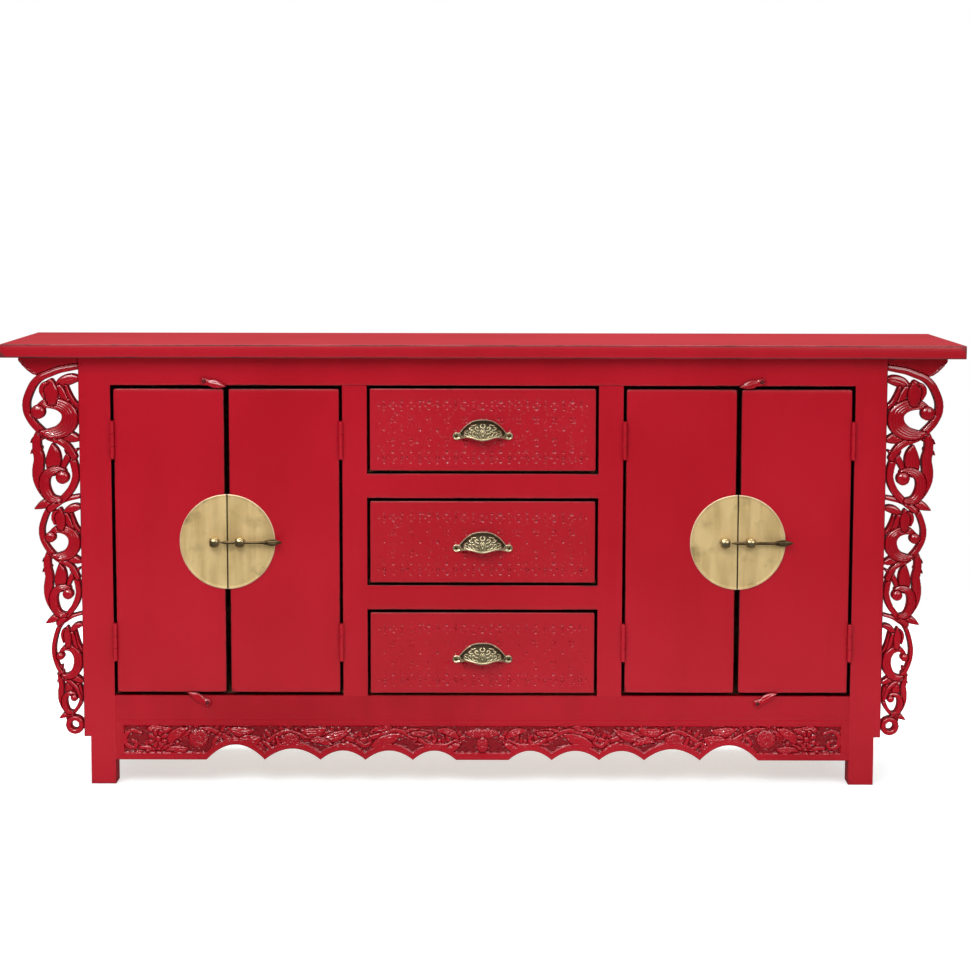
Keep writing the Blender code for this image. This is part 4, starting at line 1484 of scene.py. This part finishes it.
@dataclass
class CupPull:
    """A cast cup pull: a hollow hood with an ear at each end and scrolls in relief."""

    finishes: Finishes
    drawer: str
    step: float = 0.0006
    cup_half: float = 0.044
    shoulder: float = 0.0142
    bell: float = 2.6
    wave: float = 0.0055
    wave_at: float = 0.030
    wave_fade: float = 0.022
    wall: float = 0.0022
    ear_thick: float = 0.0024
    ear_radius: float = 0.0068
    ear_rise: float = 0.0082
    lip: float = 0.0017
    lip_rise: float = 0.0014
    bead_in: float = 0.0013
    bead_rise: float = 0.0005
    bead_start: float = 0.022
    recess: float = 0.0009
    carved: float = 0.0013
    dot_pitch: float = 1900.0
    screw_radius: float = 0.0034
    screw_lift: float = 0.0007

    def shape(self) -> Shape:
        """Cast the pull.

        Returns:
            The closed shape.
        """
        low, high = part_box(f"{self.drawer}_cup_pull")
        foot, height, depth = low.z, high.z - low.z, high.y - low.y
        cut = Carving((low.x - 0.002, foot - 0.002), (high.x + 0.002, high.z + 0.002), self.step, fold=True)
        x, z = cut.x, cut.z
        crown = foot + self.shoulder
        crown = crown + (height - self.shoulder) * (1 - np.minimum(x / self.cup_half, 1) ** self.bell)
        inner = np.sin(np.pi * np.minimum(x, self.wave_at) / (2 * self.wave_at)) ** 2
        fade = np.clip((x - self.wave_at) / self.wave_fade, 0, 1)
        mouth = foot + self.wave * np.where(x < self.wave_at, inner, np.cos(np.pi / 2 * fade) ** 2)
        reach = high.x - self.ear_radius
        from_screw = np.hypot(x - reach, z - (foot + self.ear_rise))
        flange = np.maximum(np.maximum(z - crown, mouth - z) * 0.85, x - reach)
        outline = np.minimum(flange, from_screw - self.ear_radius)
        up = np.clip((z - foot) / np.maximum(crown - foot - 0.0012, 0.001), 0, 1)
        across = np.sqrt(np.maximum(1 - (x / (self.cup_half - 0.001)) ** 2.2, 0))
        hood = depth * 0.93 * across * np.sqrt(1 - up**2.4)
        in_hood = x < self.cup_half
        relief = self.relief(cut, foot, in_hood)
        lip = ridge(z - mouth - self.lip, self.lip) * (from_screw > self.ear_radius * 0.7)
        bead = ridge(z - crown + self.bead_in, 0.0010) * (x > self.bead_start)
        recess = np.clip(1.6 - from_screw / (self.ear_radius * 0.45), 0, 1)
        rise = np.maximum(hood, self.ear_thick) + np.maximum(relief, lip * self.lip_rise)
        rise = rise + bead * self.bead_rise - recess * self.recess
        cut.rise = np.minimum(rise, depth + 0.0008)
        cut.outside = outline
        patina = np.clip(1 - relief / self.carved, 0, 1) * (0.45 + 0.55 * up) * in_hood
        cut.stain = np.clip(np.maximum(patina * (1 - lip) * (1 - bead), recess * 0.75), 0, 1)
        shell = np.clip(hood - self.wall - 0.0012, 0.0, cut.rise - 0.0006)
        return cut.solid(high.y, 0.0, rim=0.0009, shell=shell)

    def relief(self, cut: Carving, foot: float, hood: np.ndarray) -> np.ndarray:
        """Model the scrolls, the fleur in the middle and the leaf at each end.

        Args:
            cut: the pull's grid, whose heights are used as a sketch.
            foot: the height of the pull's lowest point.
            hood: where the hood is.

        Returns:
            How far the relief stands out from the hood.
        """
        scrolls = [
            ([(0.000, 0.0075), (0.0022, 0.013), (0.000, 0.019)], 0.0016),
            ([(0.0035, 0.006), (0.006, 0.011), (0.0045, 0.0165), (0.002, 0.021)], 0.0012),
            ([(0.0, 0.024), (0.003, 0.0255), (0.0045, 0.029), (0.002, 0.031)], 0.0012),
            ([(0.009, 0.006), (0.0125, 0.0095), (0.0115, 0.014), (0.0085, 0.0125)], 0.0012),
            ([(0.014, 0.0075), (0.0185, 0.010), (0.0195, 0.0155), (0.0155, 0.0175), (0.0145, 0.014)], 0.0013),
            ([(0.0075, 0.019), (0.012, 0.0205), (0.0145, 0.0245), (0.0105, 0.0265), (0.0085, 0.024)], 0.0012),
            ([(0.0225, 0.009), (0.0265, 0.0115), (0.0265, 0.0155), (0.0230, 0.0165),
              (0.0225, 0.0135)], 0.0012),
            ([(0.018, 0.0205), (0.0225, 0.0205), (0.0255, 0.0235), (0.0215, 0.0255)], 0.0012),
            ([(0.030, 0.0085), (0.0345, 0.0105), (0.0335, 0.0145), (0.0305, 0.013)], 0.0011),
            ([(0.029, 0.0185), (0.0325, 0.0180), (0.0345, 0.0160)], 0.0011),
            ([(0.013, 0.0300), (0.018, 0.0290), (0.0215, 0.0285)], 0.0010),
            ([(0.038, 0.0065), (0.0415, 0.0085), (0.0425, 0.0115)], 0.0012),
        ]
        for points, half in scrolls:
            cut.stroke([(x, foot + z, half) for x, z in points], self.carved, moat=0.0)
        dots = np.sin(cut.x * self.dot_pitch) * np.sin((cut.z - foot) * self.dot_pitch)
        return np.where(hood, np.maximum(cut.rise, 0.25 * self.carved * np.maximum(dots, 0)), 0.0)

    def make(self) -> None:
        """Build the pull and its two screws."""
        node, body = f"{self.drawer}_cup_pull", f"{self.drawer}_drawer"
        self.shape().piece(f"{node}_cast", self.finishes.pull, body, Slot.OLD_BRASS, (node,), 55)
        low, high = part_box(node)
        reach, seat = high.x - self.ear_radius, high.y - self.ear_thick + self.screw_lift
        left, right = (
            slotted_screw((sign * reach, seat, low.z + self.ear_rise), self.screw_radius, 30 * sign)
            for sign in (-1, 1)
        )
        screws = left.joined(right)
        screws.piece(f"{self.drawer}_pull_screws", self.finishes.pin, body, Slot.OLD_BRASS, (), 40)


@dataclass
class Drawer:
    """A drawer: a front with notched carving in rows, a dovetailed box and a cup pull."""

    finishes: Finishes
    name: str
    step: float = 0.00108
    pitch: float = 0.0337
    depth: float = 0.0019
    margin: float = 0.016
    specks: int = 520
    speck_field: Point = (0.012, 0.060)
    speck_sizes: Point = (0.0013, 0.0027)
    wall: float = 0.010
    floor: float = 0.006
    floor_lift: float = 0.004
    back_drop: float = 0.008
    tails: int = 5
    inset: float = 0.0002
    corner: float = 0.0025
    slip: float = 0.0009
    hand: np.random.Generator = field(default_factory=lambda: np.random.default_rng(11))
    rows: tuple = (
        (0.0465, 0.0, ((0, 0.006, 0.0045, 0.004), (0, -0.006, 0.0045, 0.004),
                       (-0.0065, 0, 0.0025, 0.0035), (0.0065, 0, 0.0025, 0.0035))),
        (0.0465, 0.5, ((0, 0.0075, 0.0030, 0.0030), (0, 0, 0.0032, 0.0070), (0, -0.0085, 0.0025, 0.0025))),
        (0.0185, 0.0, ((-0.0028, 0.003, 0.0022, 0.0042), (0.0028, 0.003, 0.0022, 0.0042),
                       (-0.0028, -0.004, 0.0022, 0.0032), (0.0028, -0.004, 0.0022, 0.0032))),
        (0.0, 0.5, ((0, 0, 0.0032, 0.0042),)),
        (-0.0225, 0.0, ((-0.0028, 0.004, 0.0022, 0.0046), (0.0028, 0.004, 0.0022, 0.0046),
                        (0, -0.0055, 0.0034, 0.0036))),
        (-0.0510, 0.0, ((0, 0.0090, 0.0045, 0.0036), (0, -0.0100, 0.0045, 0.0036),
                        (-0.0062, -0.001, 0.0028, 0.0046), (0.0062, -0.001, 0.0028, 0.0046))),
        (-0.0530, 0.5, ((0, 0.0110, 0.0028, 0.0032), (0, -0.0090, 0.0032, 0.0038))),
    )
    buds: int = 6
    bud_height: float = 0.053

    def row(self, cut: Carving, height: float, shift: float, marks: tuple) -> None:
        """Repeat a group of notches along a row.

        Args:
            cut: the carving to cut them in.
            height: the row's height.
            shift: where the first group lies, as a share of the pitch.
            marks: X and Z from the group's middle, half width and half height of each notch.
        """
        edge = cut.xs[-1] - self.margin
        count = int(edge / self.pitch) + 1
        for number in range(-count, count + 1):
            x = (number + shift) * self.pitch
            for across, up, wide, high in marks:
                slip = self.hand.uniform(-self.slip, self.slip, 2)
                force = self.hand.uniform(0.75, 1.25)
                if abs(x + across) < edge:
                    place = (x + across + slip[0], height + up + slip[1])
                    cut.chip(*place, wide * force, high * force, self.depth * force)

    def front(self) -> Shape:
        """Carve the front.

        Returns:
            The closed shape.
        """
        low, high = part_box(f"{self.name}_drawer_front")
        middle = (low.z + high.z) / 2
        cut = Carving((low.x - 0.002, low.z - 0.002), (high.x + 0.002, high.z + 0.002), self.step)
        half = (high.x - self.corner, (high.z - low.z) / 2 - self.corner)
        past = np.abs(cut.x) - half[0], np.abs(cut.z - middle) - half[1]
        inner = np.maximum(*past)
        round_corner = np.hypot(np.maximum(past[0], 0), np.maximum(past[1], 0))
        cut.outside = np.where(inner > 0, round_corner, inner) - self.corner
        for height, shift, marks in self.rows:
            self.row(cut, middle + height, shift, marks)
        across, up = half[0] - self.speck_field[0], self.speck_field[1]
        corners = (-across, -up, self.speck_sizes[0]), (across, up, self.speck_sizes[1])
        for x, z, size in self.hand.uniform(*corners, (self.specks, 3)):
            cut.chip(x, middle + z, size, size * 1.3, size * 0.45)
        for number in range(-self.buds, self.buds):
            cut.knob((number + 0.5) * self.pitch, middle - self.bud_height, 0.0025, 0.0018)
        # Its sawn walls face the gaps round the drawer: painted near black, for black paint and painted
        # shade.
        return cut.solid(low.y, high.y - low.y, rim=0.0014, deep=self.depth * 1.1, wall_black_and_shade=0.8)

    def box(self) -> Shape:
        """Join the box from its boards, with dovetails at the front corners.

        Returns:
            The shape.
        """
        low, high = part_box(f"{self.name}_drawer_box")
        inner = (low.x + self.wall, high.x - self.wall)
        start, end = low.y + self.wall, high.y - self.wall
        base = soft_box((inner[0], start, low.z + self.floor_lift), (inner[1], end, low.z + self.floor))
        boards = []
        tall = (high.z - low.z) / (2 * self.tails - 1)
        for left, right in ((low.x, inner[0]), (inner[1], high.x)):
            boards.append(soft_box((left, start, low.z), (right, high.y, high.z)))
            for tail in range(self.tails):
                foot = low.z + 2 * tail * tall
                boards.append(soft_box((left, low.y, foot), (right, start, foot + tall), 0.0004))
        front_low = (low.x + self.inset, low.y + self.inset, low.z)
        boards.append(soft_box(front_low, (high.x - self.inset, start, high.z - 0.0003)))
        boards.append(soft_box((inner[0], end, low.z), (inner[1], high.y, high.z - self.back_drop)))
        return base.joined(*boards)

    def make(self) -> None:
        """Build the drawer."""
        body = f"{self.name}_drawer"
        front, box = f"{self.name}_drawer_front", f"{self.name}_drawer_box"
        self.front().piece(f"{front}_carved", self.finishes.notched, body, Slot.CARVED, (front,))
        self.box().piece(f"{box}_joined", self.finishes.drawer_wood, body, Slot.WOOD, (box,), 30)
        CupPull(self.finishes, self.name).make()


# ---------------------------------------------------------------- doors


@dataclass
class Hinge:
    """A painted butt hinge: two leaves, three knuckles and the pin between them."""

    finishes: Finishes
    door: str
    level: str
    knuckle: float = 0.00425
    bore: float = 0.0020
    pin: float = 0.0017
    pin_head: float = 0.0006
    run: float = 0.0005
    round_off: float = 0.0006
    leaf_near: float = 0.0012
    leaf_far: float = 0.0027
    tab_front: float = 0.001

    def barrel(self, x: float, y: float, start: float, end: float) -> Shape:
        """One knuckle, bored for the pin.

        Args:
            x: the pin's place.
            y: the pin's place.
            start: the height of its foot.
            end: the height of its top.

        Returns:
            The closed shape.
        """
        r, bore, soft = self.knuckle, self.bore, self.round_off
        profile = [(bore, start), (r - soft, start), (r, start + soft)]
        profile += [(r, end - soft), (r - soft, end), (bore, end)]
        return turned(profile, Matrix.Translation((x, y, 0)), 28, ring=True)

    def domed_pin(self, x: float, y: float, foot: float, top: float) -> Shape:
        """The pin, whose domed ends show above and below the knuckles.

        Args:
            x: its place.
            y: its place.
            foot: the height of the lowest knuckle's foot.
            top: the height of the highest knuckle's top.

        Returns:
            The closed shape.
        """
        r, head = self.pin, self.pin_head
        low, high = foot - 0.0008, top + 0.0008
        profile = [(head, low), (r + head, low + head), (r, low + 0.0014)]
        profile += [(r, high - 0.0014), (r + head, high - head), (head, high)]
        return turned(profile, Matrix.Translation((x, y, 0)), 20)

    def make(self) -> None:
        """Build both leaves and the pin."""
        name = f"{self.door}_{self.level}_hinge"
        axis = self.axis_x()
        low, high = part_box(f"{name}_frame_leaf")
        foot, third = low.z, (high.z - low.z) / 3
        for which, body, spans in (("frame", "carcass", (0, 2)), ("door", f"{self.door}_door_leaf", (1,))):
            node = f"{name}_{which}_leaf"
            low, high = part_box(node)
            y = low.y + self.knuckle
            back = y + self.knuckle
            side = self.frame_side() if which == "frame" else -self.frame_side()
            x = sorted((axis + side * self.leaf_near, axis + side * self.leaf_far))
            leaf = soft_box((x[0], back + self.run, foot), (x[1], high.y, foot + 3 * third), 0.0003)
            parts = []
            for span in spans:
                start = foot + span * third + self.run / 2
                end = foot + (span + 1) * third - self.run / 2
                parts.append(self.barrel(axis, y, start, end))
                tab_low = (x[0], y + self.tab_front, start + self.run)
                parts.append(soft_box(tab_low, (x[1], back + 2 * self.run, end - self.run), 0.0002))
            if which == "frame":
                parts.append(self.domed_pin(axis, y, foot, foot + 3 * third))
            leaf.joined(*parts).piece(
                f"{node}_painted", self.finishes.steel, body, Slot.STEEL, (node,), 35
            )

    def axis_x(self) -> float:
        """Where the pin's axis lies."""
        return joint_place(f"{self.door}_door_hinge")[0]

    def frame_side(self) -> int:
        """Whether the frame's leaf lies towards +X or -X of the pin."""
        low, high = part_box(f"{self.door}_door")
        return -1 if (low.x + high.x) / 2 > self.axis_x() else 1


@dataclass
class MoonPlate:
    """Half of a round brass plate with its eye."""

    finishes: Finishes
    door: str
    step: float = 0.0012
    thick: float = 0.0025
    split: float = 0.0008
    rim: float = 0.0020
    rim_rise: float = 0.0007
    dents: float = 0.00018
    seam: float = 0.0011
    # Radius of the painted shade and patina round the eye.
    eye_shade_and_patina: float = 0.0135
    eye_offset: float = 0.024
    eye_half: float = 0.0088
    eye_radius: float = 0.0104
    eye_lip: float = 0.0012
    eye_flat: float = 0.86
    bore: float = 0.0037
    stem: float = 0.0050

    def make(self) -> None:
        """Build the half plate and its eye."""
        node = f"{self.door}_moon_plate"
        body = f"{self.door}_door_leaf"
        low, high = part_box(node)
        door_low, door_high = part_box(f"{self.door}_door")
        left_half = low.x + high.x > door_low.x + door_high.x
        sign = -1 if left_half else 1
        cut_edge = high.x if left_half else low.x
        x, z = cut_edge - sign * self.split, (high.z + low.z) / 2
        front = high.y - self.thick
        eye_x = x + sign * self.eye_offset
        shape = self.half_disc(low, high, cut_edge, x, sign)
        spots = shape.points[:, 0], shape.points[:, 2]
        shape.marks["edge"] = np.minimum((high.z - low.z) / 2 - np.hypot(spots[0] - x, spots[1] - z), UNWORN)
        seam = 0.9 * (1 - np.clip((spots[0] - cut_edge) * sign / self.seam, 0, 1))
        # Darker round the eye: painted shade of the eye on the plate, together with patina.
        eye_shade_and_patina = np.hypot(spots[0] - eye_x, (spots[1] - z) * 1.15) / self.eye_shade_and_patina
        eye_shade_and_patina = eye_shade_and_patina + 0.18 * np.sin(spots[0] * 900) * np.sin(spots[1] * 1100)
        shape.marks["hollow"] = np.maximum(seam, 0.75 * (1 - np.clip(eye_shade_and_patina - 0.55, 0, 0.45) / 0.45))
        shape.piece(f"{node}_brass", self.finishes.plate, body, Slot.PLATE, (node,))
        self.eye(eye_x, front, z).piece(f"{self.door}_eye", self.finishes.eye, body, Slot.PLATE)

    def half_disc(self, low: Vector, high: Vector, cut_edge: float, x: float, sign: int) -> Shape:
        """The half plate, with a raised rim and the faint dents of beaten sheet.

        Args:
            low: the lowest corner of its box.
            high: the highest corner.
            cut_edge: where its straight edge lies.
            x: where the whole plate's middle lies.
            sign: the side that it lies on, seen from there.

        Returns:
            The closed shape.
        """
        radius, z = (high.z - low.z) / 2, (high.z + low.z) / 2
        cut = Carving((low.x - 0.002, low.z - 0.002), (high.x + 0.002, high.z + 0.002), self.step)
        around = np.hypot(cut.x - x, cut.z - z)
        turn = np.arctan2(cut.z - z, cut.x - x)
        cut.outside = np.maximum(around - radius, (cut_edge - cut.x) * sign)
        dents = np.sin(cut.x * 95 + 2 * np.sin(cut.z * 41)) * np.sin(cut.z * 63 + turn)
        cut.rise = self.rim_rise * ridge(radius - around - self.rim * 0.7, self.rim) + self.dents * dents
        return cut.solid(high.y - self.thick, self.thick, rim=0.0009)

    def eye(self, x: float, front: float, z: float) -> Shape:
        """The bored bead that the lock pin slides through, on its stem.

        Args:
            x: its middle.
            front: the plate's face.
            z: its middle.

        Returns:
            The closed shape.
        """
        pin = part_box("left_lock_pin")
        y = (pin[0].y + pin[1].y) / 2
        lip = self.bore + self.eye_lip
        profile = [(self.bore, -self.eye_half)]
        for turn in np.linspace(-math.pi / 2, math.pi / 2, 15):
            swell = lip + (self.eye_radius - lip) * math.cos(turn) ** 0.8
            profile.append((swell, self.eye_half * math.sin(turn)))
        profile.append((self.bore, self.eye_half))
        flat = Matrix.Diagonal((1.0, self.eye_flat, 1.0, 1.0))
        place = Matrix.Translation((x, y, z)) @ flat @ Matrix.Rotation(math.radians(90), 4, "Y")
        bead = turned(profile, place, 32, ring=True)
        stem, long = self.stem, front - y - self.bore
        collar = [(0.0008, 0.0), (stem + 0.0035, 0.0), (stem + 0.0035, 0.0006), (stem + 0.0020, 0.0015)]
        collar += [(stem, 0.0024), (stem * 0.9, long - 0.0012), (0.0008, long - 0.0010)]
        return bead.joined(turned(collar, facing_front((x, front, z)), 28))


@dataclass
class LockPin:
    """The pin that slides through both eyes, with a leaf for a handle."""

    finishes: Finishes
    side: str
    radius: float = 0.0030
    leaf_long: float = 0.036
    leaf_thick: float = 0.003
    step: float = 0.0006

    def make(self) -> None:
        """Build the pin."""
        node = f"{self.side}_lock_pin"
        low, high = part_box(node)
        y, z = (low.y + high.y) / 2, (low.z + high.z) / 2
        leaf = high.x - self.leaf_long
        r, point = self.radius, 0.0004
        profile = [(point, low.x), (r * 0.45, low.x + 0.0006), (r, low.x + 3 * r), (r, leaf + 0.002)]
        profile += [(r * 1.5, leaf + 0.003), (r * 1.5, leaf + 0.005), (r, leaf + 0.006)]
        profile += [(r * 0.8, leaf + 0.009), (point, leaf + 0.010)]
        shaft = turned(profile, Matrix.Translation((0, y, z)) @ Matrix.Rotation(math.radians(90), 4, "Y"), 24)
        half = (high.z - low.z) / 2
        cut = Carving((leaf - 0.002, low.z - 0.002), (high.x + 0.002, high.z + 0.002), self.step)
        line = [(leaf + 0.003, z, r * 0.8), (leaf + 0.008, z, half * 0.72), (leaf + 0.016, z, half)]
        line += [(leaf + 0.026, z, half * 0.66), (high.x - 0.0008, z, 0.0008)]
        cut.stroke(line, self.leaf_thick * 0.55, 0.0004, (-0.5, 0.0, 0.5), moat=0.0)
        shape = shaft.joined(cut.solid(y, self.leaf_thick * 0.5, rim=0.0006))
        shape.piece(f"{node}_brass", self.finishes.pin, f"{self.side}_pin", Slot.PLATE, (node,), 45)


@dataclass
class Door:
    """One door with its hinges and its half plate."""

    finishes: Finishes
    name: str
    radius: float = 0.0018
    corner: float = 0.0032

    def make(self) -> None:
        """Build the door."""
        # All four door edges are painted near black: black paint and painted shade in the gaps.
        Board(
            f"{self.name}_door", body=f"{self.name}_door_leaf", radius=self.radius, corner=self.corner,
            dark=(Side.LEFT, Side.RIGHT, Side.FOOT, Side.TOP),
        ).make(f"{self.name}_door_lacquered", self.finishes.red)
        for level in ("upper", "lower"):
            Hinge(self.finishes, self.name, level).make()
        MoonPlate(self.finishes, self.name).make()


@dataclass
class TurnButton:
    """A leaf-shaped wooden button that turns on a nail."""

    finishes: Finishes
    place: str
    angles: dict = field(
        default_factory=lambda: {"upper_left": -13, "upper_right": 193, "lower_left": 151, "lower_right": 29}
    )
    step: float = 0.0006
    length: float = 0.051
    head: float = 0.0078
    belly: float = 0.0082
    base: float = 0.34
    swell: float = 0.62
    vein: float = 0.0006
    hub: float = 0.0050
    nail: float = 0.0034
    shank: float = 0.0014

    def shape(self, thick: float) -> Shape:
        """Carve the button, with its nail hole at the origin and its tip towards +X.

        Args:
            thick: how thick it is.

        Returns:
            The closed shape.
        """
        tip = self.length - self.head
        base = thick * self.base
        cut = Carving((-self.head - 0.002, -0.011), (tip + 0.002, 0.011), self.step, base)
        line = [(0, 0, self.head), (0.004, 0, self.head * 0.94), (0.010, 0, self.head * 0.78)]
        line += [(0.018, 0, self.belly), (0.026, 0, self.belly * 0.92), (0.034, 0, self.belly * 0.55)]
        cut.stroke([*line, (tip - 0.0006, 0, 0.0006)], thick * self.swell, base, moat=0.0)
        vein = ridge(cut.z, 0.0012) * (cut.x > 0.010) * self.vein
        around = np.hypot(cut.x, cut.z)
        hub = ridge(around - self.hub, 0.0009) * 0.0009 - 0.0010 * (around < self.hub * 0.8)
        cut.rise += vein + hub
        return cut.solid(0.0, 0.0, rim=0.0010, deep=thick, shell=np.zeros(cut.x.shape))

    def make(self) -> None:
        """Build the button and its nail."""
        node = f"{self.place}_turn_button"
        low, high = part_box(node)
        thick = high.y - low.y
        x, _, z = joint_place(f"{self.place}_button_turn")
        turn = Matrix.Rotation(-math.radians(self.angles[self.place]), 4, "Y")
        button = self.shape(thick).moved(Matrix.Translation((x, high.y, z)) @ turn)
        button.piece(f"{node}_carved", self.finishes.carved, f"{self.place}_button", Slot.RED, (node,))
        r, shank = self.nail, self.shank
        profile = [(0.0004, 0.0), (shank, 0.0), (shank, thick * 0.75), (r, thick * 0.78)]
        profile += [(r * 0.9, thick * 0.95), (r * 0.55, thick * 1.08), (0.0004, thick * 1.12)]
        nail = turned(profile, facing_front((x, high.y, z)), 20)
        # The nail head is painted dark: painted shade of the hole that it sits in.
        nail.marks["dark"] = np.full(len(nail.points), 0.8)
        nail.piece(f"{self.place}_button_nail", self.finishes.steel, "carcass", Slot.STEEL, (), 40)


# ---------------------------------------------------------------- the studio


@dataclass(frozen=True)
class Softbox:
    """A rectangular light."""

    name: str
    place: tuple
    size: Point
    watts: float
    aim: tuple = (0, 0, 0.4)

    def make(self) -> None:
        """Hang the light."""
        data = bpy.data.lights.new(self.name, "AREA")
        data.shape = "RECTANGLE"
        data.size, data.size_y = self.size
        data.energy = self.watts
        made = bpy.data.objects.new(self.name, data)
        made.location = self.place
        made.rotation_euler = (Vector(self.aim) - Vector(self.place)).to_track_quat("-Z", "Y").to_euler()
        bpy.context.scene.collection.objects.link(made)


@dataclass
class Studio:
    """The floor, the light and the camera."""

    place: tuple = (0.0043, -4.75, 1.12)
    pitch: float = 6.8
    roll: float = 0.1
    lens: float = 90.8
    sensor: float = 36.0
    floor_radius: float = 2.2
    floor_sides: int = 96
    horizon: Point = (0.25, 0.9)
    around: float = 0.045
    overhead: float = 0.8
    lights: tuple[Softbox, ...] = (
        Softbox("key", (-1.2, -3.4, 3.0), (2.6, 1.8), 84),
        Softbox("fill", (2.0, -3.2, 2.2), (1.8, 1.6), 32),
        Softbox("glint", (-1.7, -2.6, 3.7), (0.3, 0.3), 30),
        Softbox("top", (0, 0.6, 3.4), (3.0, 2.4), 178, (0, 0, 0.5)),
    )

    def camera(self) -> None:
        """Add the camera."""
        data = bpy.data.cameras.new("camera")
        data.lens, data.sensor_width = self.lens, self.sensor
        made = bpy.data.objects.new("camera", data)
        made.location = self.place
        tilt = Matrix.Rotation(math.radians(90 - self.pitch), 4, "X")
        made.rotation_euler = (tilt @ Matrix.Rotation(math.radians(self.roll), 4, "Z")).to_euler()
        bpy.context.scene.collection.objects.link(made)
        bpy.context.scene.camera = made

    def sky(self) -> None:
        """Light the studio from all round, mostly from above, and leave its background white."""
        world = bpy.data.worlds.new("studio")
        bpy.context.scene.world = world
        world.use_nodes = True
        graph = Graph(world.node_tree)
        direction = graph.node("ShaderNodeTexCoord", {}, {}).outputs["Generated"]
        height = graph.node("ShaderNodeSeparateXYZ", {}, {0: direction}).outputs["Z"]
        start, end = self.horizon
        values = {0: height, 1: start, 2: end, 3: self.around, 4: self.around + self.overhead}
        fade = graph.node("ShaderNodeMapRange", {"interpolation_type": "SMOOTHSTEP"}, values)
        seen = graph.node("ShaderNodeLightPath", {}, {}).outputs["Is Camera Ray"]
        background = world.node_tree.nodes["Background"]
        graph.feed(background.inputs["Color"], (1.0, 1.0, 1.0))
        graph.feed(background.inputs["Strength"], Wire(graph, fade.outputs[0]).greater(Wire(graph, seen)))

    def floor(self) -> None:
        """Lay the floor."""
        turns = 2 * np.pi * np.arange(self.floor_sides) / self.floor_sides
        circle = np.column_stack([np.cos(turns), np.sin(turns), np.zeros(self.floor_sides)])
        mesh = bpy.data.meshes.new("floor")
        mesh.from_pydata((self.floor_radius * circle).tolist(), [], [list(range(self.floor_sides))])
        mesh.materials.append(StudioWhite("studio white").material())
        made = bpy.data.objects.new("floor", mesh)
        made.visible_glossy = False
        bpy.context.scene.collection.objects.link(made)

    def make(self) -> None:
        """Set up the studio."""
        bpy.context.scene.view_settings.view_transform = "Standard"
        self.camera()
        self.sky()
        self.floor()
        for light in self.lights:
            light.make()


def main() -> None:
    """Build the sideboard and its studio."""
    logging.basicConfig(level=logging.INFO, format="%(message)s")
    finishes = Finishes()
    Studio().make()
    for part in (Carcass, Bracket, Apron):
        part(finishes).make()
    for name in ("upper", "middle", "lower"):
        Drawer(finishes, name).make()
    for side in ("left", "right"):
        for which in ("outer", "inner"):
            Door(finishes, f"{side}_{which}").make()
        LockPin(finishes, side).make()
        for level in ("upper", "lower"):
            TurnButton(finishes, f"{level}_{side}").make()


if __name__ == "__main__":
    main()
